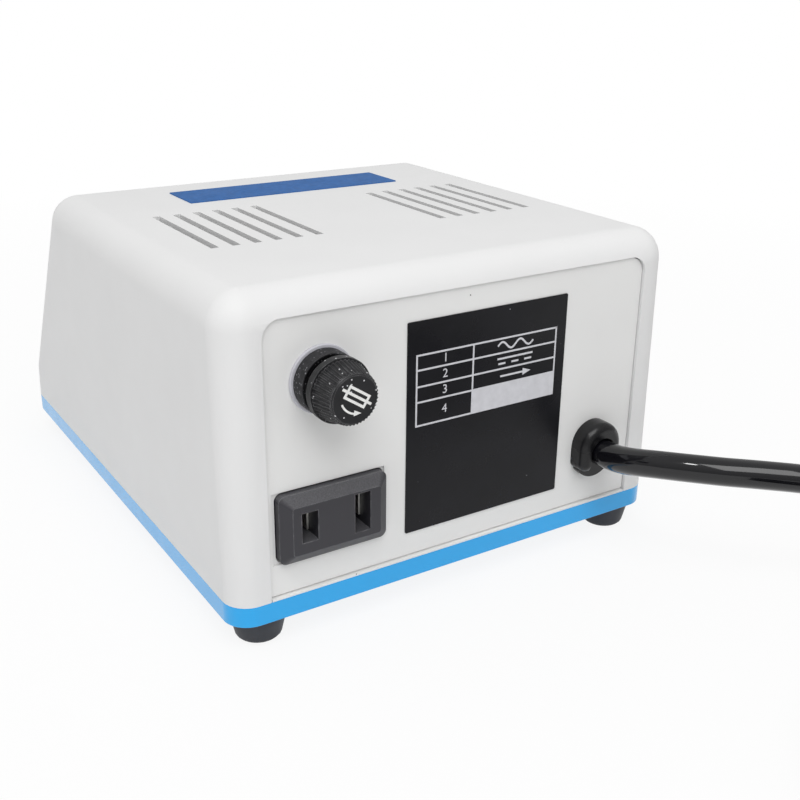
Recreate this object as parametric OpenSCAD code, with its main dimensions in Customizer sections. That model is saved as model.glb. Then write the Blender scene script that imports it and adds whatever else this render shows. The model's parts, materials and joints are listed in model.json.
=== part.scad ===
// Bench control box of a dental micromotor, with its mains lead put away in a coil.
// +Z is up, the controls face -Y, and the fuse, outlet and lead are on the +Y side.
// The origin lies on the ground, in the middle of the box and what stands out of it.

/* [Case] */
// Width of the case
body_w = 118; // [112:1:140]
// Depth of the case
body_d = 150; // [144:1:175]
// Height of the base and shell together
body_h = 72.6; // [71:0.1:90]
// Height of the coloured base
base_h = 4.8; // [4.4:0.1:7]
// Thickness of the shell and of the base's rim
wall = 2.5; // [2:0.1:3]
// Thickness of the base's floor
floor_t = 2.6; // [2.2:0.1:3.6]
// Radius of the case's rounded upper edges
edge_r = 7.5; // [6:0.5:9]
// Radius of the upright edges where they meet the base
corner_r = 6; // [5:0.5:8]
// Height of the upright strip below the sloped front
front_step_h = 16; // [14:0.5:20]
// How far the slope sets the top's front edge back
top_setback = 38; // [34:1:44]
// Gap at seams and slip fits of the case
seam_gap = 0.2; // [0.1:0.05:0.3]
// Thickness of printed films
film_t = 0.25; // [0.2:0.05:0.4]

/* [Feet and case screws] */
// Height of a foot
foot_h = 6.5; // [4:0.5:9]
// Diameter of a foot where it meets the base
foot_top_d = 13; // [9:0.1:13.4]
// Diameter of a foot on the ground
foot_bottom_d = 10.4; // [6:0.1:11]
// Distance of a foot's middle from the side face
foot_inset_x = 8.6; // [7:0.1:12]
// Distance of a foot's middle from the front and rear faces
foot_inset_y = 7.2; // [7:0.1:12]
// Diameter of a foot's stem
foot_stem_d = 4; // [3:0.1:5]
// Distance of a case screw from the side face
post_inset_x = 9; // [8:0.5:10]
// Distance of a case screw from the front and rear faces
post_inset_y = 32.5; // [31:0.5:36]
// Diameter of a screw post
post_d = 8; // [7:0.1:9]
// Diameter of the case screws' thread
case_screw_d = 3; // [2.6:0.1:3.4]

/* [Vents and decal] */
// Slots on each side
vent_count = 6; // [3:1:7]
// Distance between slots
vent_pitch = 5.2; // [4:0.1:5.6]
// Width of a slot
vent_w = 1.9; // [1.2:0.1:2.6]
// Length of a slot
vent_l = 36; // [24:1:44]
// Distance of the first slot from the middle
vent_first = 17.2; // [12:0.1:20]
// Distance of the slots' rear ends from the rear face
vent_inset = 37; // [30:1:45]
// Width of the top decal
decal_w = 62.6; // [40:0.1:80]
// Depth of the top decal
decal_d = 15.2; // [8:0.1:16]
// Distance of the decal's rear edge from the rear face
decal_inset = 83.4; // [83:0.1:86]
// How far the decal lies off the middle
decal_off = 1.5; // [0:0.1:3]

/* [Rear panel] */
// Margin of case left on each side of the panel
panel_margin = 8.9; // [8:0.1:10]
// Margin of case left above the panel
panel_top_margin = 5.8; // [5:0.1:7]
// Radius of the panel's upper corners
panel_r = 3.8; // [2:0.1:6]
// How deep the panel lies behind the rear face
panel_recess = 0.8; // [0.4:0.1:1.2]
// Thickness of the flange that holds the panel inside
flange_t = 1.2; // [1:0.1:2]
// How far that flange reaches past the panel's outline
flange_over = 1.1; // [0.8:0.1:1.3]
// Height of the ledge under the panel
ledge_h = 0.5; // [0.5:0.1:1.4]
// Width of the rating plate
plate_w = 43.6; // [36:0.1:46]
// Margin of panel left above the rating plate
plate_top_margin = 5.7; // [4:0.1:8]
// Margin of panel left under the rating plate
plate_low_margin = 6.5; // [5:0.1:9]
// Sideways place of the rating plate
plate_u = 5.3; // [4:0.1:7]

/* [Fuse holder] */
// Distance of the fuse from the panel's side
fuse_inset = 13; // [12:0.1:15]
// Distance of the fuse below the panel's upper edge
fuse_drop = 14; // [12.5:0.1:16]
// Diameter of the holder's barrel
fuse_barrel_d = 11; // [10.4:0.1:12]
// Diameter of the holder's flange
fuse_flange_d = 13.6; // [12.6:0.1:15]
// Thickness of the holder's flange
fuse_flange_t = 3.6; // [3:0.1:5]
// Length of the barrel behind the panel's face
fuse_barrel_l = 30; // [28.5:0.5:32]
// Diameter of the holder's bore
fuse_bore_d = 9.2; // [8.8:0.1:9.6]
// Diameter of the pale washer
fuse_washer_d = 14.8; // [14:0.1:16]
// Thickness of the pale washer
fuse_washer_t = 0.8; // [0.5:0.1:1.8]
// Diameter of the cap's ring
cap_ring_d = 13.8; // [13:0.1:15]
// Diameter of the cap's end
cap_end_d = 10.6; // [9.5:0.1:11]
// Height of the cap in front of the flange
cap_h = 9.2; // [7.5:0.1:11]
// Diameter of the glass fuse
fuse_d = 5.2; // [5:0.1:5.4]
// Length of the glass fuse
fuse_l = 20; // [19.5:0.1:20.5]

/* [Mains outlet] */
// Distance of the outlet from the panel's side
outlet_inset = 14.9; // [14:0.1:16]
// Height of the outlet above the base
outlet_mid_h = 21.1; // [19:0.1:24]
// Width of the outlet's face
outlet_w = 26; // [25:0.1:28]
// Height of the outlet's face
outlet_h = 16; // [14.5:0.1:17]
// How far the face stands out of the panel
outlet_out = 3; // [2:0.1:4]
// Width of the face's bevel
outlet_bevel = 2.4; // [1.5:0.1:2.6]
// Distance between the blade slots
blade_pitch = 12.7; // [12.5:0.1:12.9]
// Width of a blade slot
slot_w = 3.8; // [3:0.1:3.9]
// Height of the narrow slot
slot_h = 6.9; // [6.4:0.1:8.2]
// Height of the wide slot
slot_wide_h = 9.2; // [8.4:0.1:9.6]
// Depth of the slots
slot_depth = 16; // [14:0.5:17]
// Depth of the outlet behind the panel
outlet_depth = 20; // [19:0.5:22]

/* [Lead and strain relief] */
// Diameter of the lead
cord_d = 6.7; // [6.4:0.1:7]
// Distance of the lead from the panel's side
gland_inset = 12.2; // [11:0.1:13]
// Height of the lead above the base
gland_mid_h = 20.2; // [18:0.1:21]
// Diameter of the strain relief's head
gland_d = 14.8; // [14.2:0.1:17]
// How far the head stands out of the panel
gland_out = 5; // [4.5:0.1:6.5]
// Diameter of the strain relief's neck in the panel
gland_neck_d = 10.4; // [10:0.1:10.8]
// Length of lead inside the case
cord_inside = 20; // [15:1:24]
// Turns in the coil
coil_turns = 5.25; // [4.25:1:6.25]
// Radius of the smallest turn, at the lead's middle
coil_r_min = 28; // [28:1:32]
// Gap between neighbouring turns
coil_gap = 0.6; // [0.5:0.1:1]
// Straight lead between the coil and the plug
coil_tail = 32; // [32:1:36]
// Thickness of the tie's strap
tie_t = 1; // [0.8:0.1:1.4]
// Width of the tie's strap
tie_w = 8; // [6:1:12]

/* [Transformer and circuit board] */
// Length of the transformer's core
core_l = 48; // [46:1:50]
// Height of the transformer's core
core_h = 40; // [38:1:44]
// Thickness of the stack of sheets
core_t = 22; // [20:1:24]
// Width of the core's outer legs
core_leg = 8; // [7.5:0.5:8.5]
// How far the winding bulges out of the stack
winding_bulge = 6; // [5:0.5:7]
// Gap between the transformer and the screw posts beside it
core_gap = 2; // [1:0.5:4]
// Width of the circuit board
board_w = 38; // [36:1:40]
// Length of the circuit board
board_l = 80; // [72:1:84]
// Gap between the circuit board and the screw posts beside it
board_gap = 1.1; // [0.8:0.1:4]
// Height of the board's standoffs
board_lift = 8; // [6:0.5:10]
// Diameter of a filter capacitor
capacitor_d = 16; // [14:0.5:17]
// Height of a filter capacitor
capacitor_h = 25; // [20:1:28]

/* [Controls] */
// Margin of case left on each side of the control film
overlay_margin = 8; // [7.5:0.5:10]
// Height of the control film
overlay_h = 51; // [50:0.5:53]
// Diameter of the speed knob
knob_d = 30; // [26:1:34]
// Height of the speed knob
knob_h = 13; // [12:0.5:16]
// Sweep of the speed knob
knob_sweep = 280; // [240:10:300]
// Diameter of the speed control's shaft
shaft_d = 6; // [5.8:0.1:6.2]
// Width of the power switch's cut-out
rocker_w = 13.2; // [12.8:0.1:14]
// Length of the power switch's cut-out
rocker_l = 19.2; // [18.8:0.1:20]
// Tilt of the rocker at rest
rocker_tilt = 9; // [6:1:10]
// Diameter of a lever switch's bushing
bushing_d = 6; // [6:0.1:6.6]
// Tilt of a lever at rest
lever_tilt = 11; // [8:1:12]
// Length of a lever above its pivot
lever_l = 13; // [11:0.5:16]
// Diameter of the handpiece socket's bore
socket_d = 12.2; // [11.8:0.1:12.4]
// Depth of the handpiece socket's bore
socket_depth = 9; // [7:0.5:9.5]
// Diameter of the pilot lamp
lamp_d = 5; // [4:0.1:6]

/* [Hidden] */

$fn = 48;
hull_fn = 32;
cut = 1;

shell_colour = [0.88, 0.88, 0.88];
panel_colour = [0.85, 0.85, 0.85];
base_colour = [0.27, 0.62, 0.87];
decal_colour = [0.26, 0.43, 0.67];
black_plastic = [0.13, 0.13, 0.14];
rubber_colour = [0.22, 0.23, 0.25];
steel_colour = [0.70, 0.71, 0.73];
brass_colour = [0.80, 0.66, 0.35];
copper_colour = [0.72, 0.42, 0.22];
board_colour = [0.10, 0.36, 0.20];

// Running clearance of a shaft or pin, on the radius
run_fit = 0.05;
// Clearance of screws and press-in stems, on the radius
screw_fit = 0.05;
// Free gap between curved faces of pieces that move
free_gap = 0.3;

// Heights of the case
z_base = foot_h;
z_floor = z_base + floor_t;
z_seam = z_base + base_h;
z_step = z_base + front_step_h;
z_top = z_base + body_h;

// The fuse cap is the rearmost point, so it sets where the case lies front to rear
cap_gap = 0.1;
cap_seat = fuse_washer_t + fuse_flange_t + cap_gap;
cap_out = cap_seat + cap_h;
y_front = -(body_d + cap_out - panel_recess) / 2;
y_rear = y_front + body_d;
y_face = y_rear - panel_recess;

// The sloped front and the ball centres of the case's rounded edges
tilt = atan2(top_setback, body_h - front_step_h);
slope_l = norm([top_setback, body_h - front_step_h]);
y_crest = y_front + (z_top - edge_r - z_step) * tan(tilt) + edge_r / cos(tilt);
z_knee = z_step - edge_r * (1 / cos(tilt) - 1) / tan(tilt);

// Rear panel
panel_w = body_w - 2 * panel_margin;
panel_top = z_top - panel_top_margin;
flange_y = y_rear - wall - seam_gap / 2;
panel_in = flange_y - flange_t;
panel_depth = y_face - panel_in;
plate_h = panel_top - plate_top_margin - z_seam - plate_low_margin;
plate_mid_h = z_seam + plate_low_margin + plate_h / 2 - z_base;
fuse_mid_h = panel_top - fuse_drop - z_base;

// The outlet: its corners, the flange behind the panel, and the shallow seat in the panel's face,
// which is larger than the outlet and shows beside and above it
outlet_r = 1.6;
outlet_flange = 2;
seat_over = [1.2, 0.8];
seat_depth = 0.5;
seat_shift = [-0.4, 0.1];
slot_shift = [-0.3, 0.5];

// Groove in the panel, just over its ledge
groove_h = 0.3;
groove_depth = 0.6;

// Places on the rear panel, seen from behind: u to the right, v up from the base
fuse_u = -(panel_w / 2 - fuse_inset);
flange_rim = 0.5;
flange_sink = 1.6;
fuse_nut_d = fuse_barrel_d + 6;
fuse_nut_t = 3;
fuse_tab = [4.8, 0.8, 8];
fuse_side_inset = 8;
fuse_band_h = 3;
fuse_floor_t = 2.5;
fuse_tail_d = 4;
fuse_contact_h = 2;
outlet_u = -(panel_w / 2 - outlet_inset);
gland_u = panel_w / 2 - gland_inset;

// Places on the sloped front: u to the right, v up the slope
overlay_w = body_w - 2 * overlay_margin;
overlay_v = 32.5;
switch_inset = 23;
knob_inset = 31;
switch_u = -(body_w / 2 - switch_inset);
lever_u = -10;
knob_u = body_w / 2 - knob_inset;
lamp_u = 8;
upper_v = 43;
lower_v = 19.5;
knob_v = 35;
lamp_v = 48;

// Case screws and feet
screw_head_d = 5.4;
screw_head_h = 1.6;
post_pad_h = 1.4;
post_x = body_w / 2 - post_inset_x;
post_y = [y_front + post_inset_y, y_rear - post_inset_y];
case_screw_l = 10;
foot_x = body_w / 2 - foot_inset_x;
foot_y = [y_front + foot_inset_y, y_rear - foot_inset_y];
barb_h = 2.4;
barb_d = foot_stem_d + 1.6;
lip_t = 1.5;
lip_h = 3;

// Transformer
core_x = -(post_x - post_d / 2 - core_gap - core_t / 2 - winding_bulge);
core_y = 6;
rail_h = 4;
z_core = z_floor + rail_h;
core_mid = 2 * core_leg;
window_w = (core_l - 4 * core_leg) / 2;
window_h = core_h - 2 * core_leg;
bobbin_t = 1;
core_fit = 0.2;
bobbin_h = window_h - 2 * core_fit;
bobbin_w = core_mid + 2 * window_w - 2 * free_gap;
strap_t = 1;
strap_w = core_t - 2;
strap_foot = 10;
rail_l = 18;
rail_y = core_l / 2 + rail_l / 2 - 6;
strap_screw_y = core_l / 2 + core_fit + strap_t + strap_foot / 2;
strap_screw_l = 5;
strap_screw_head_h = 2;

// Circuit board
board_t = 1.6;
board_x = post_x - post_d / 2 - board_gap - board_w / 2;
board_y = -4;
z_board = z_floor + board_lift;
z_parts = z_board + board_t;
board_hole_inset = 3.5;
board_screw_d = 2.5;
board_screw_l = 7;
standoff_d = 6;

// Parts on the board: two columns along its sides, clear of the corner screws
part_margin = 1.5;
part_gap = 4;
corner_clear = 8;
parts_front = board_y - board_l / 2 + corner_clear;
parts_rear = board_y + board_l / 2 - corner_clear;
parts_left = board_x - board_w / 2 + part_margin;
parts_right = board_x + board_w / 2 - part_margin;
bridge_size = [15, 5, 15];
terminal_ways = 4;
terminal_pitch = 5;
terminal_size = [8, terminal_ways * terminal_pitch, 10];
sink_t = 3;
sink_l = 28;
sink_h = 26;
fin_count = 6;
fin_t = 1.6;
fin_l = 6;
sink_x = parts_left + fin_l + sink_t;
transistor_size = [4.4, 10, 9];

// Speed control
pot_d = 17;
pot_h = 10;
pot_bushing_d = 7;
pot_bushing_l = 5;
pot_bore_h = 8;
nut_t = 2.2;
pot_nut_d = 12;
knob_lift = 0.4;
knob_recess_h = 5;
knob_wall = 1.6;
knob_taper = 2.5;
flute_count = 18;
flute_d = 2.4;
pointer_w = 1.4;
pointer_t = 0.6;

// Power switch
bezel_w = rocker_w + 1.8;
bezel_l = rocker_l + 1.8;
bezel_t = 2;
switch_body_h = 16;
rocker_wall = 1.1;
pocket_w = rocker_w - 2 * seam_gap - 2 * rocker_wall;
pocket_l = rocker_l - 2 * seam_gap - 2 * rocker_wall;
pocket_h = 8;
rocker_fit = 0.35;
pivot_d = 2.4;
pivot_z = -1;

// Lever switches
lever_body = [8, 13, 9];
bushing_l = 6;
lever_pivot_z = 1;
lever_ball_d = 4;
lever_bore_d = lever_ball_d + 2 * free_gap;
lever_pin_d = 1.2;
lever_pin_l = bushing_d - 0.8;
lever_root_d = 2;
lever_tip_d = 3.4;
lever_nut_d = 9.6;

// Handpiece socket
socket_flange_d = 21;
socket_flange_t = 2.5;
socket_barrel_d = 17;
socket_barrel_l = 14;
socket_floor = film_t + socket_flange_t - socket_depth;
insert_d = 11;
socket_nut_d = 23;
socket_nut_t = 3;
contact_count = 5;
contact_d = 1.6;
contact_pcd = 6.4;
contact_tail = 3;

// Strain relief
gland_seam = 1;
gland_flat = 6.1;
gland_corner = 2;
gland_lip_w = 10;
gland_lip_t = 2;
gland_step = 2.9;
gland_back_t = 3;
gland_edge_r = 2;
gland_wall = 2.4;

// The mains lead: straight out of the strain relief, down to the ground and on to the coil
gland_point = [-gland_u, y_face + gland_lip_t, z_base + gland_mid_h];
coil_pitch = cord_d + coil_gap;
coil_r_max = coil_r_min + coil_pitch * coil_turns / 2;
coil_start_x = -91;
coil_y = 197;
coil_x = coil_start_x + coil_r_max;
z_lower = tie_t + cord_d / 2;
z_upper = z_lower + coil_pitch;
lead_route = [
    gland_point, gland_point + [0, 2.5, 0],
    [-38.3, 77.4, 26.9], [-39.5, 82.3, 27.7], [-41.3, 87.1, 28.6], [-43.7, 91.6, 29.2],
    [-46.6, 95.9, 29.6], [-49.9, 99.9, 29.8], [-53.5, 103.5, 29.9], [-57.4, 106.9, 29.8],
    [-61.4, 110.2, 29.6], [-65.5, 113.3, 29.1], [-69.4, 116.5, 28.1], [-73.1, 119.8, 26.7],
    [-76.5, 123.2, 24.8], [-79.5, 126.8, 22.6], [-82.1, 130.5, 20.1], [-84.3, 134.3, 17.5],
    [-86.2, 138.3, 14.8], [-87.7, 142.6, 12.3], [-88.9, 147, 9.9], [-89.8, 151.7, 8],
    [-90.4, 156.6, 6.4], [-90.8, 161.6, 5.3], [-90.9, 166.7, 4.6], [coil_start_x, 171.9, z_lower],
    [coil_start_x, 177, z_lower], [coil_start_x, 182.2, z_lower], [coil_start_x, coil_y - cord_d, z_lower]
];
lead_sides = 10;
coil_sides = 6;
coil_steps = 24;

// Plug
plug_h = 2 * z_upper;
plug_t = 15;
plug_l = 22;
boot_l = 25;
boot_d = 11;
plug_r = 3;
plug_blade = [17, 1.5, 6.3];
blade_hole_d = 3;
plug_x = coil_x + coil_tail;
plug_y = coil_y + coil_r_max;

// Helper shapes

// Flat rounded rectangle about the origin
module rounded_rect(w, h, r) {
    square([w - 2 * r, h], center = true);
    square([w, h - 2 * r], center = true);
    for (sx = [-1, 1], sy = [-1, 1])
        translate([sx * (w / 2 - r), sy * (h / 2 - r)]) circle(r);
}

// Block with rounded upright edges, standing on z = 0
module rounded_block(w, d, h, r) {
    linear_extrude(h) rounded_rect(w, d, r);
}

// Ball whose poles and sides lie exactly at its radius
module ball(r) {
    n = hull_fn / 2;
    rotate_extrude($fn = hull_fn)
        polygon([for (i = [0 : n]) let (a = 180 * i / n - 90) r * [cos(a), sin(a)]]);
}

// Pan head screw whose head stands on z = 0 and whose thread runs down
module screw(d, l, head_d, head_h) {
    translate([0, 0, -l]) cylinder(d = d, h = l + cut / 10);
    cylinder(d = head_d, h = head_h);
}

// Six-sided nut standing on z = 0
module hex_nut(across, t, bore) {
    difference() {
        cylinder(d = across, h = t, $fn = 6);
        translate([0, 0, -cut]) cylinder(d = bore, h = t + 2 * cut);
    }
}

// Moves a piece drawn facing +Z onto the rear panel's face
module on_rear(u, v) {
    translate([0, y_face, z_base]) rotate([90, 0, 180]) translate([u, v, 0]) children();
}

// Moves a piece drawn facing +Z onto the sloped front's face
module on_slope(u, v) {
    translate([0, y_front, z_step]) rotate([90 - tilt, 0, 0]) translate([u, v, 0]) children();
}

// Body of the case drawn in by t from its outside, from z_low up
module case_solid(t, z_low) {
    r = edge_r - t;
    r_low = corner_r - t;
    hull() {
        for (sx = [-1, 1]) {
            translate([sx * (body_w / 2 - edge_r), 0, 0]) {
                translate([0, y_rear - edge_r, z_top - edge_r]) ball(r);
                translate([0, y_crest, z_top - edge_r]) ball(r);
                translate([0, y_front + edge_r, z_knee]) ball(r);
            }
            for (y = [y_front + corner_r, y_rear - corner_r])
                translate([sx * (body_w / 2 - corner_r), y, z_low])
                    cylinder(r1 = r_low, r2 = r_low / 2, h = cut, $fn = hull_fn);
        }
    }
}

// Outline of the rear panel grown by g, in width and height, from the seam up
module panel_outline(g, z_low) {
    w = panel_w + 2 * g;
    h = panel_top + g - z_low;
    r = panel_r + g;
    translate([0, z_low]) {
        translate([-w / 2, 0]) square([w, h - r]);
        translate([-w / 2 + r, 0]) square([w - 2 * r, h]);
        for (sx = [-1, 1]) translate([sx * (w / 2 - r), h - r]) circle(r);
    }
}

// Upright plate with the panel's outline, from y_low for a length of t
module panel_plate(g, z_low, y_low, t) {
    translate([0, y_low + t, 0]) rotate([90, 0, 0]) linear_extrude(t) panel_outline(g, z_low);
}

// Places of the four case screws
module at_posts() {
    for (sx = [-1, 1], y = post_y) translate([sx * post_x, y, 0]) children();
}

// Holes for everything that goes through the sloped front, grown by g
module front_holes(g) {
    on_slope(knob_u, knob_v) cylinder(d = pot_bushing_d + 2 * g, h = 4 * wall, center = true);
    on_slope(switch_u, upper_v)
        cube([rocker_w - 2 * seam_gap + 2 * g, rocker_l - 2 * seam_gap + 2 * g, 4 * wall], center = true);
    for (v = [lower_v, upper_v])
        on_slope(lever_u, v) cylinder(d = bushing_d + 2 * g, h = 4 * wall, center = true);
    on_slope(switch_u, lower_v) cylinder(d = socket_barrel_d + 2 * g, h = 4 * wall, center = true);
    on_slope(lamp_u, lamp_v) cylinder(d = lamp_d + 2 * g, h = 4 * wall, center = true);
}

// Case

module top_shell() {
    rib_t = 1.5;
    rib_y = panel_in - seam_gap - rib_t;
    rib_x = panel_w / 2 - 1;
    z_post = z_floor + post_pad_h;
    z_rib = z_seam + lip_h + cut;
    z_panel_rib = z_base + outlet_mid_h + outlet_h / 2 + outlet_flange + free_gap;
    color(shell_colour) difference() {
        union() {
            difference() {
                case_solid(0, z_seam);
                case_solid(wall, z_seam - 2 * cut);
            }
            intersection() {
                case_solid(wall / 2, z_post - cut);
                union() {
                    at_posts() translate([0, 0, z_post]) cylinder(d = post_d, h = body_h);
                    for (sx = [-1, 1], y = post_y)
                        translate([sx * (post_x + body_w / 2) / 2, y, z_rib + body_h / 2])
                            cube([post_inset_x, rib_t, body_h], center = true);
                    for (sx = [-1, 1])
                        translate([sx * (rib_x + body_w / 2) / 2, rib_y + rib_t / 2, z_panel_rib])
                        translate([0, 0, body_h / 2])
                            cube([body_w / 2 - rib_x, rib_t, body_h], center = true);
                }
            }
        }
        panel_plate(seam_gap, z_seam - cut, y_rear - wall - cut / 2, wall + cut);
        for (sx = [-1, 1], i = [0 : vent_count - 1])
            translate([sx * (vent_first + i * vent_pitch), y_rear - vent_inset - vent_l / 2, z_top])
                cube([vent_w, vent_l, 4 * wall], center = true);
        front_holes(seam_gap);
        at_posts() translate([0, 0, z_post - cut])
            cylinder(d = case_screw_d + 2 * screw_fit, h = case_screw_l);
    }
}

module base_tray() {
    color(base_colour) difference() {
        union() {
            difference() {
                translate([0, (y_front + y_rear) / 2, z_base])
                    rounded_block(body_w, body_d, base_h, corner_r);
                translate([0, (y_front + y_rear) / 2, z_floor])
                    rounded_block(body_w - 2 * wall, body_d - 2 * wall, base_h, corner_r - wall);
            }
            base_lips();
            at_posts() translate([0, 0, z_floor - cut / 2])
                cylinder(d = post_d + 2, h = post_pad_h + cut / 2);
            for (s = [-1, 1])
                translate([core_x, core_y + s * rail_y, z_floor + rail_h / 2 - cut / 2])
                    cube([core_t + 2, rail_l, rail_h + cut], center = true);
            at_standoffs() translate([0, 0, z_floor - cut / 2])
                cylinder(d = standoff_d, h = board_lift + cut / 2);
        }
        at_posts() translate([0, 0, z_base - cut]) {
            cylinder(d = case_screw_d + 2 * screw_fit, h = body_h);
            cylinder(d = screw_head_d + 0.4, h = screw_head_h + cut);
        }
        for (sx = [-1, 1], y = foot_y)
            translate([sx * foot_x, y, z_base - cut])
                cylinder(d = foot_stem_d + 2 * screw_fit, h = floor_t + 2 * cut);
        at_strap_screws() translate([0, 0, -strap_screw_l])
            cylinder(d = case_screw_d + 2 * screw_fit, h = rail_h + floor_t);
        at_standoffs() translate([0, 0, z_board - board_screw_l])
            cylinder(d = board_screw_d + 2 * screw_fit, h = board_lift);
    }
}

// Ribs on the base that hold the shell's lower edge in line
module base_lips() {
    side_x = body_w / 2 - wall - seam_gap - lip_t / 2;
    side_l = body_d - 4 * edge_r;
    front_y = y_front + wall + seam_gap + lip_t / 2;
    lip_z = (z_floor + z_seam + lip_h) / 2 - cut / 4;
    lip_full = z_seam + lip_h - z_floor + cut / 2;
    for (sx = [-1, 1])
        translate([sx * side_x, (y_front + y_rear) / 2, lip_z])
            cube([lip_t, side_l, lip_full], center = true);
    translate([0, front_y, lip_z]) cube([body_w - 4 * edge_r, lip_t, lip_full], center = true);
}

module rear_panel() {
    color(panel_colour) difference() {
        union() {
            panel_plate(0, z_seam, panel_in, panel_depth);
            intersection() {
                panel_plate(flange_over, z_seam, panel_in, flange_t);
                case_solid(wall + seam_gap, z_seam - 2 * cut);
            }
            translate([-panel_w / 2, y_face - cut / 2, z_seam])
                cube([panel_w, panel_recess + cut / 2, ledge_h]);
        }
        on_rear(fuse_u, fuse_mid_h)
            cylinder(d = fuse_barrel_d + 2 * seam_gap, h = 4 * panel_depth, center = true);
        on_rear(outlet_u, outlet_mid_h) {
            translate([0, 0, -2 * panel_depth])
                rounded_block(outlet_w + 2 * seam_gap, outlet_h + 2 * seam_gap, 4 * panel_depth,
                    outlet_r + seam_gap);
            translate(seat_shift)
                cube([outlet_w + seat_over[0], outlet_h + seat_over[1], 2 * seat_depth], center = true);
        }
        on_rear(gland_u, gland_mid_h)
            cylinder(d = gland_neck_d + 2 * seam_gap, h = 4 * panel_depth, center = true);
        translate([-body_w / 2, y_face - groove_depth, z_seam + ledge_h])
            cube([body_w, groove_depth + cut, groove_h]);
    }
}

module rating_plate() {
    color(black_plastic) on_rear(plate_u, plate_mid_h) rounded_block(plate_w, plate_h, film_t, 0.4);
}

module top_decal() {
    color(decal_colour) translate([-decal_off, y_rear - decal_inset - decal_d / 2, z_top])
        rounded_block(decal_w, decal_d, film_t, 0.3);
}

module control_overlay() {
    color(decal_colour) difference() {
        on_slope(0, overlay_v) rounded_block(overlay_w, overlay_h, film_t, 3);
        front_holes(seam_gap + 0.1);
    }
}

module foot(sx, y) {
    edge = 0.8;
    color(rubber_colour) translate([sx * foot_x, y, 0]) rotate_extrude() polygon([
        [0, 0], [foot_bottom_d / 2 - edge, 0], [foot_bottom_d / 2, edge], [foot_top_d / 2, foot_h],
        [foot_stem_d / 2, foot_h], [foot_stem_d / 2, z_floor], [barb_d / 2, z_floor],
        [foot_stem_d / 2, z_floor + barb_h], [0, z_floor + barb_h]
    ]);
}

module foot_rear_left() { foot(-1, foot_y[1]); }
module foot_rear_right() { foot(1, foot_y[1]); }
module foot_front_left() { foot(-1, foot_y[0]); }
module foot_front_right() { foot(1, foot_y[0]); }

module case_screws() {
    color(steel_colour) at_posts() translate([0, 0, z_base + screw_head_h])
        rotate([180, 0, 0]) difference() {
            screw(case_screw_d, case_screw_l - 2 * cut, screw_head_d, screw_head_h - 2 * screw_fit);
            for (a = [0, 90]) rotate(a) translate([0, 0, screw_head_h])
                cube([0.8, 3, 1.6], center = true);
        }
}

// Fuse holder, drawn facing out of the panel from z = 0 at its face

module fuse_washer() {
    color([0.82, 0.82, 0.86]) on_rear(fuse_u, fuse_mid_h) difference() {
        cylinder(d = fuse_washer_d, h = fuse_washer_t);
        translate([0, 0, -cut]) cylinder(d = fuse_barrel_d + 2 * screw_fit, h = 3 * cut);
    }
}

module fuse_holder_body() {
    color(black_plastic) on_rear(fuse_u, fuse_mid_h) difference() {
        union() {
            translate([0, 0, fuse_washer_t]) cylinder(d = fuse_flange_d, h = fuse_flange_t);
            translate([0, 0, -fuse_barrel_l]) cylinder(d = fuse_barrel_d, h = fuse_barrel_l + 2 * cut);
        }
        translate([0, 0, fuse_washer_t + fuse_flange_t - flange_sink])
            cylinder(d = fuse_flange_d - 2 * flange_rim, h = flange_sink + cut);
        translate([0, 0, -fuse_barrel_l + fuse_floor_t])
            cylinder(d = fuse_bore_d, h = fuse_barrel_l + cap_seat);
        translate([0, 0, -fuse_barrel_l - cut])
            cylinder(d = fuse_tail_d + 2 * screw_fit, h = fuse_floor_t + 2 * cut);
    }
}

module fuse_holder_nut() {
    color(black_plastic) on_rear(fuse_u, fuse_mid_h) translate([0, 0, -panel_depth - fuse_nut_t])
        hex_nut(fuse_nut_d, fuse_nut_t, fuse_barrel_d + 2 * screw_fit);
}

module fuse_terminals() {
    tab = fuse_tab;
    side_z = -fuse_barrel_l + fuse_side_inset;
    color(brass_colour) on_rear(fuse_u, fuse_mid_h) {
        translate([0, 0, -fuse_barrel_l + fuse_floor_t])
            cylinder(d = fuse_bore_d - 0.4, h = fuse_contact_h);
        translate([0, 0, -fuse_barrel_l - cut])
            cylinder(d = fuse_tail_d, h = fuse_floor_t + fuse_contact_h / 2 + cut);
        translate([-tab[0] / 2, -tab[1] / 2, -fuse_barrel_l - tab[2]]) cube(tab);
        translate([0, 0, side_z]) difference() {
            union() {
                cylinder(d = fuse_barrel_d + 1.2, h = fuse_band_h);
                translate([-tab[1] / 2, fuse_barrel_d / 2 + 0.2, 0]) cube([tab[1], tab[2], fuse_band_h]);
            }
            translate([0, 0, -cut]) cylinder(d = fuse_barrel_d + 2 * screw_fit, h = 5);
        }
    }
}

// Height of the fuse's inner end, on the holder's end contact
fuse_end_z = -fuse_barrel_l + fuse_floor_t + fuse_contact_h + 0.1;
fuse_cup_l = 5;

module fuse_link() {
    color([0.85, 0.92, 0.95, 0.5]) on_rear(fuse_u, fuse_mid_h)
    translate([0, 0, fuse_end_z + 0.4]) difference() {
        cylinder(d = fuse_d - 0.5, h = fuse_l - 0.8);
        translate([0, 0, -cut]) cylinder(d = fuse_d - 2, h = fuse_l + 2 * cut);
    }
}

module fuse_end_caps() {
    color(steel_colour) on_rear(fuse_u, fuse_mid_h) for (end = [0, 1])
        translate([0, 0, fuse_end_z + end * fuse_l]) mirror([0, 0, end]) difference() {
            cylinder(d = fuse_d, h = fuse_cup_l);
            translate([0, 0, 0.35]) cylinder(d = fuse_d - 0.45, h = fuse_cup_l);
        }
}

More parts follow.
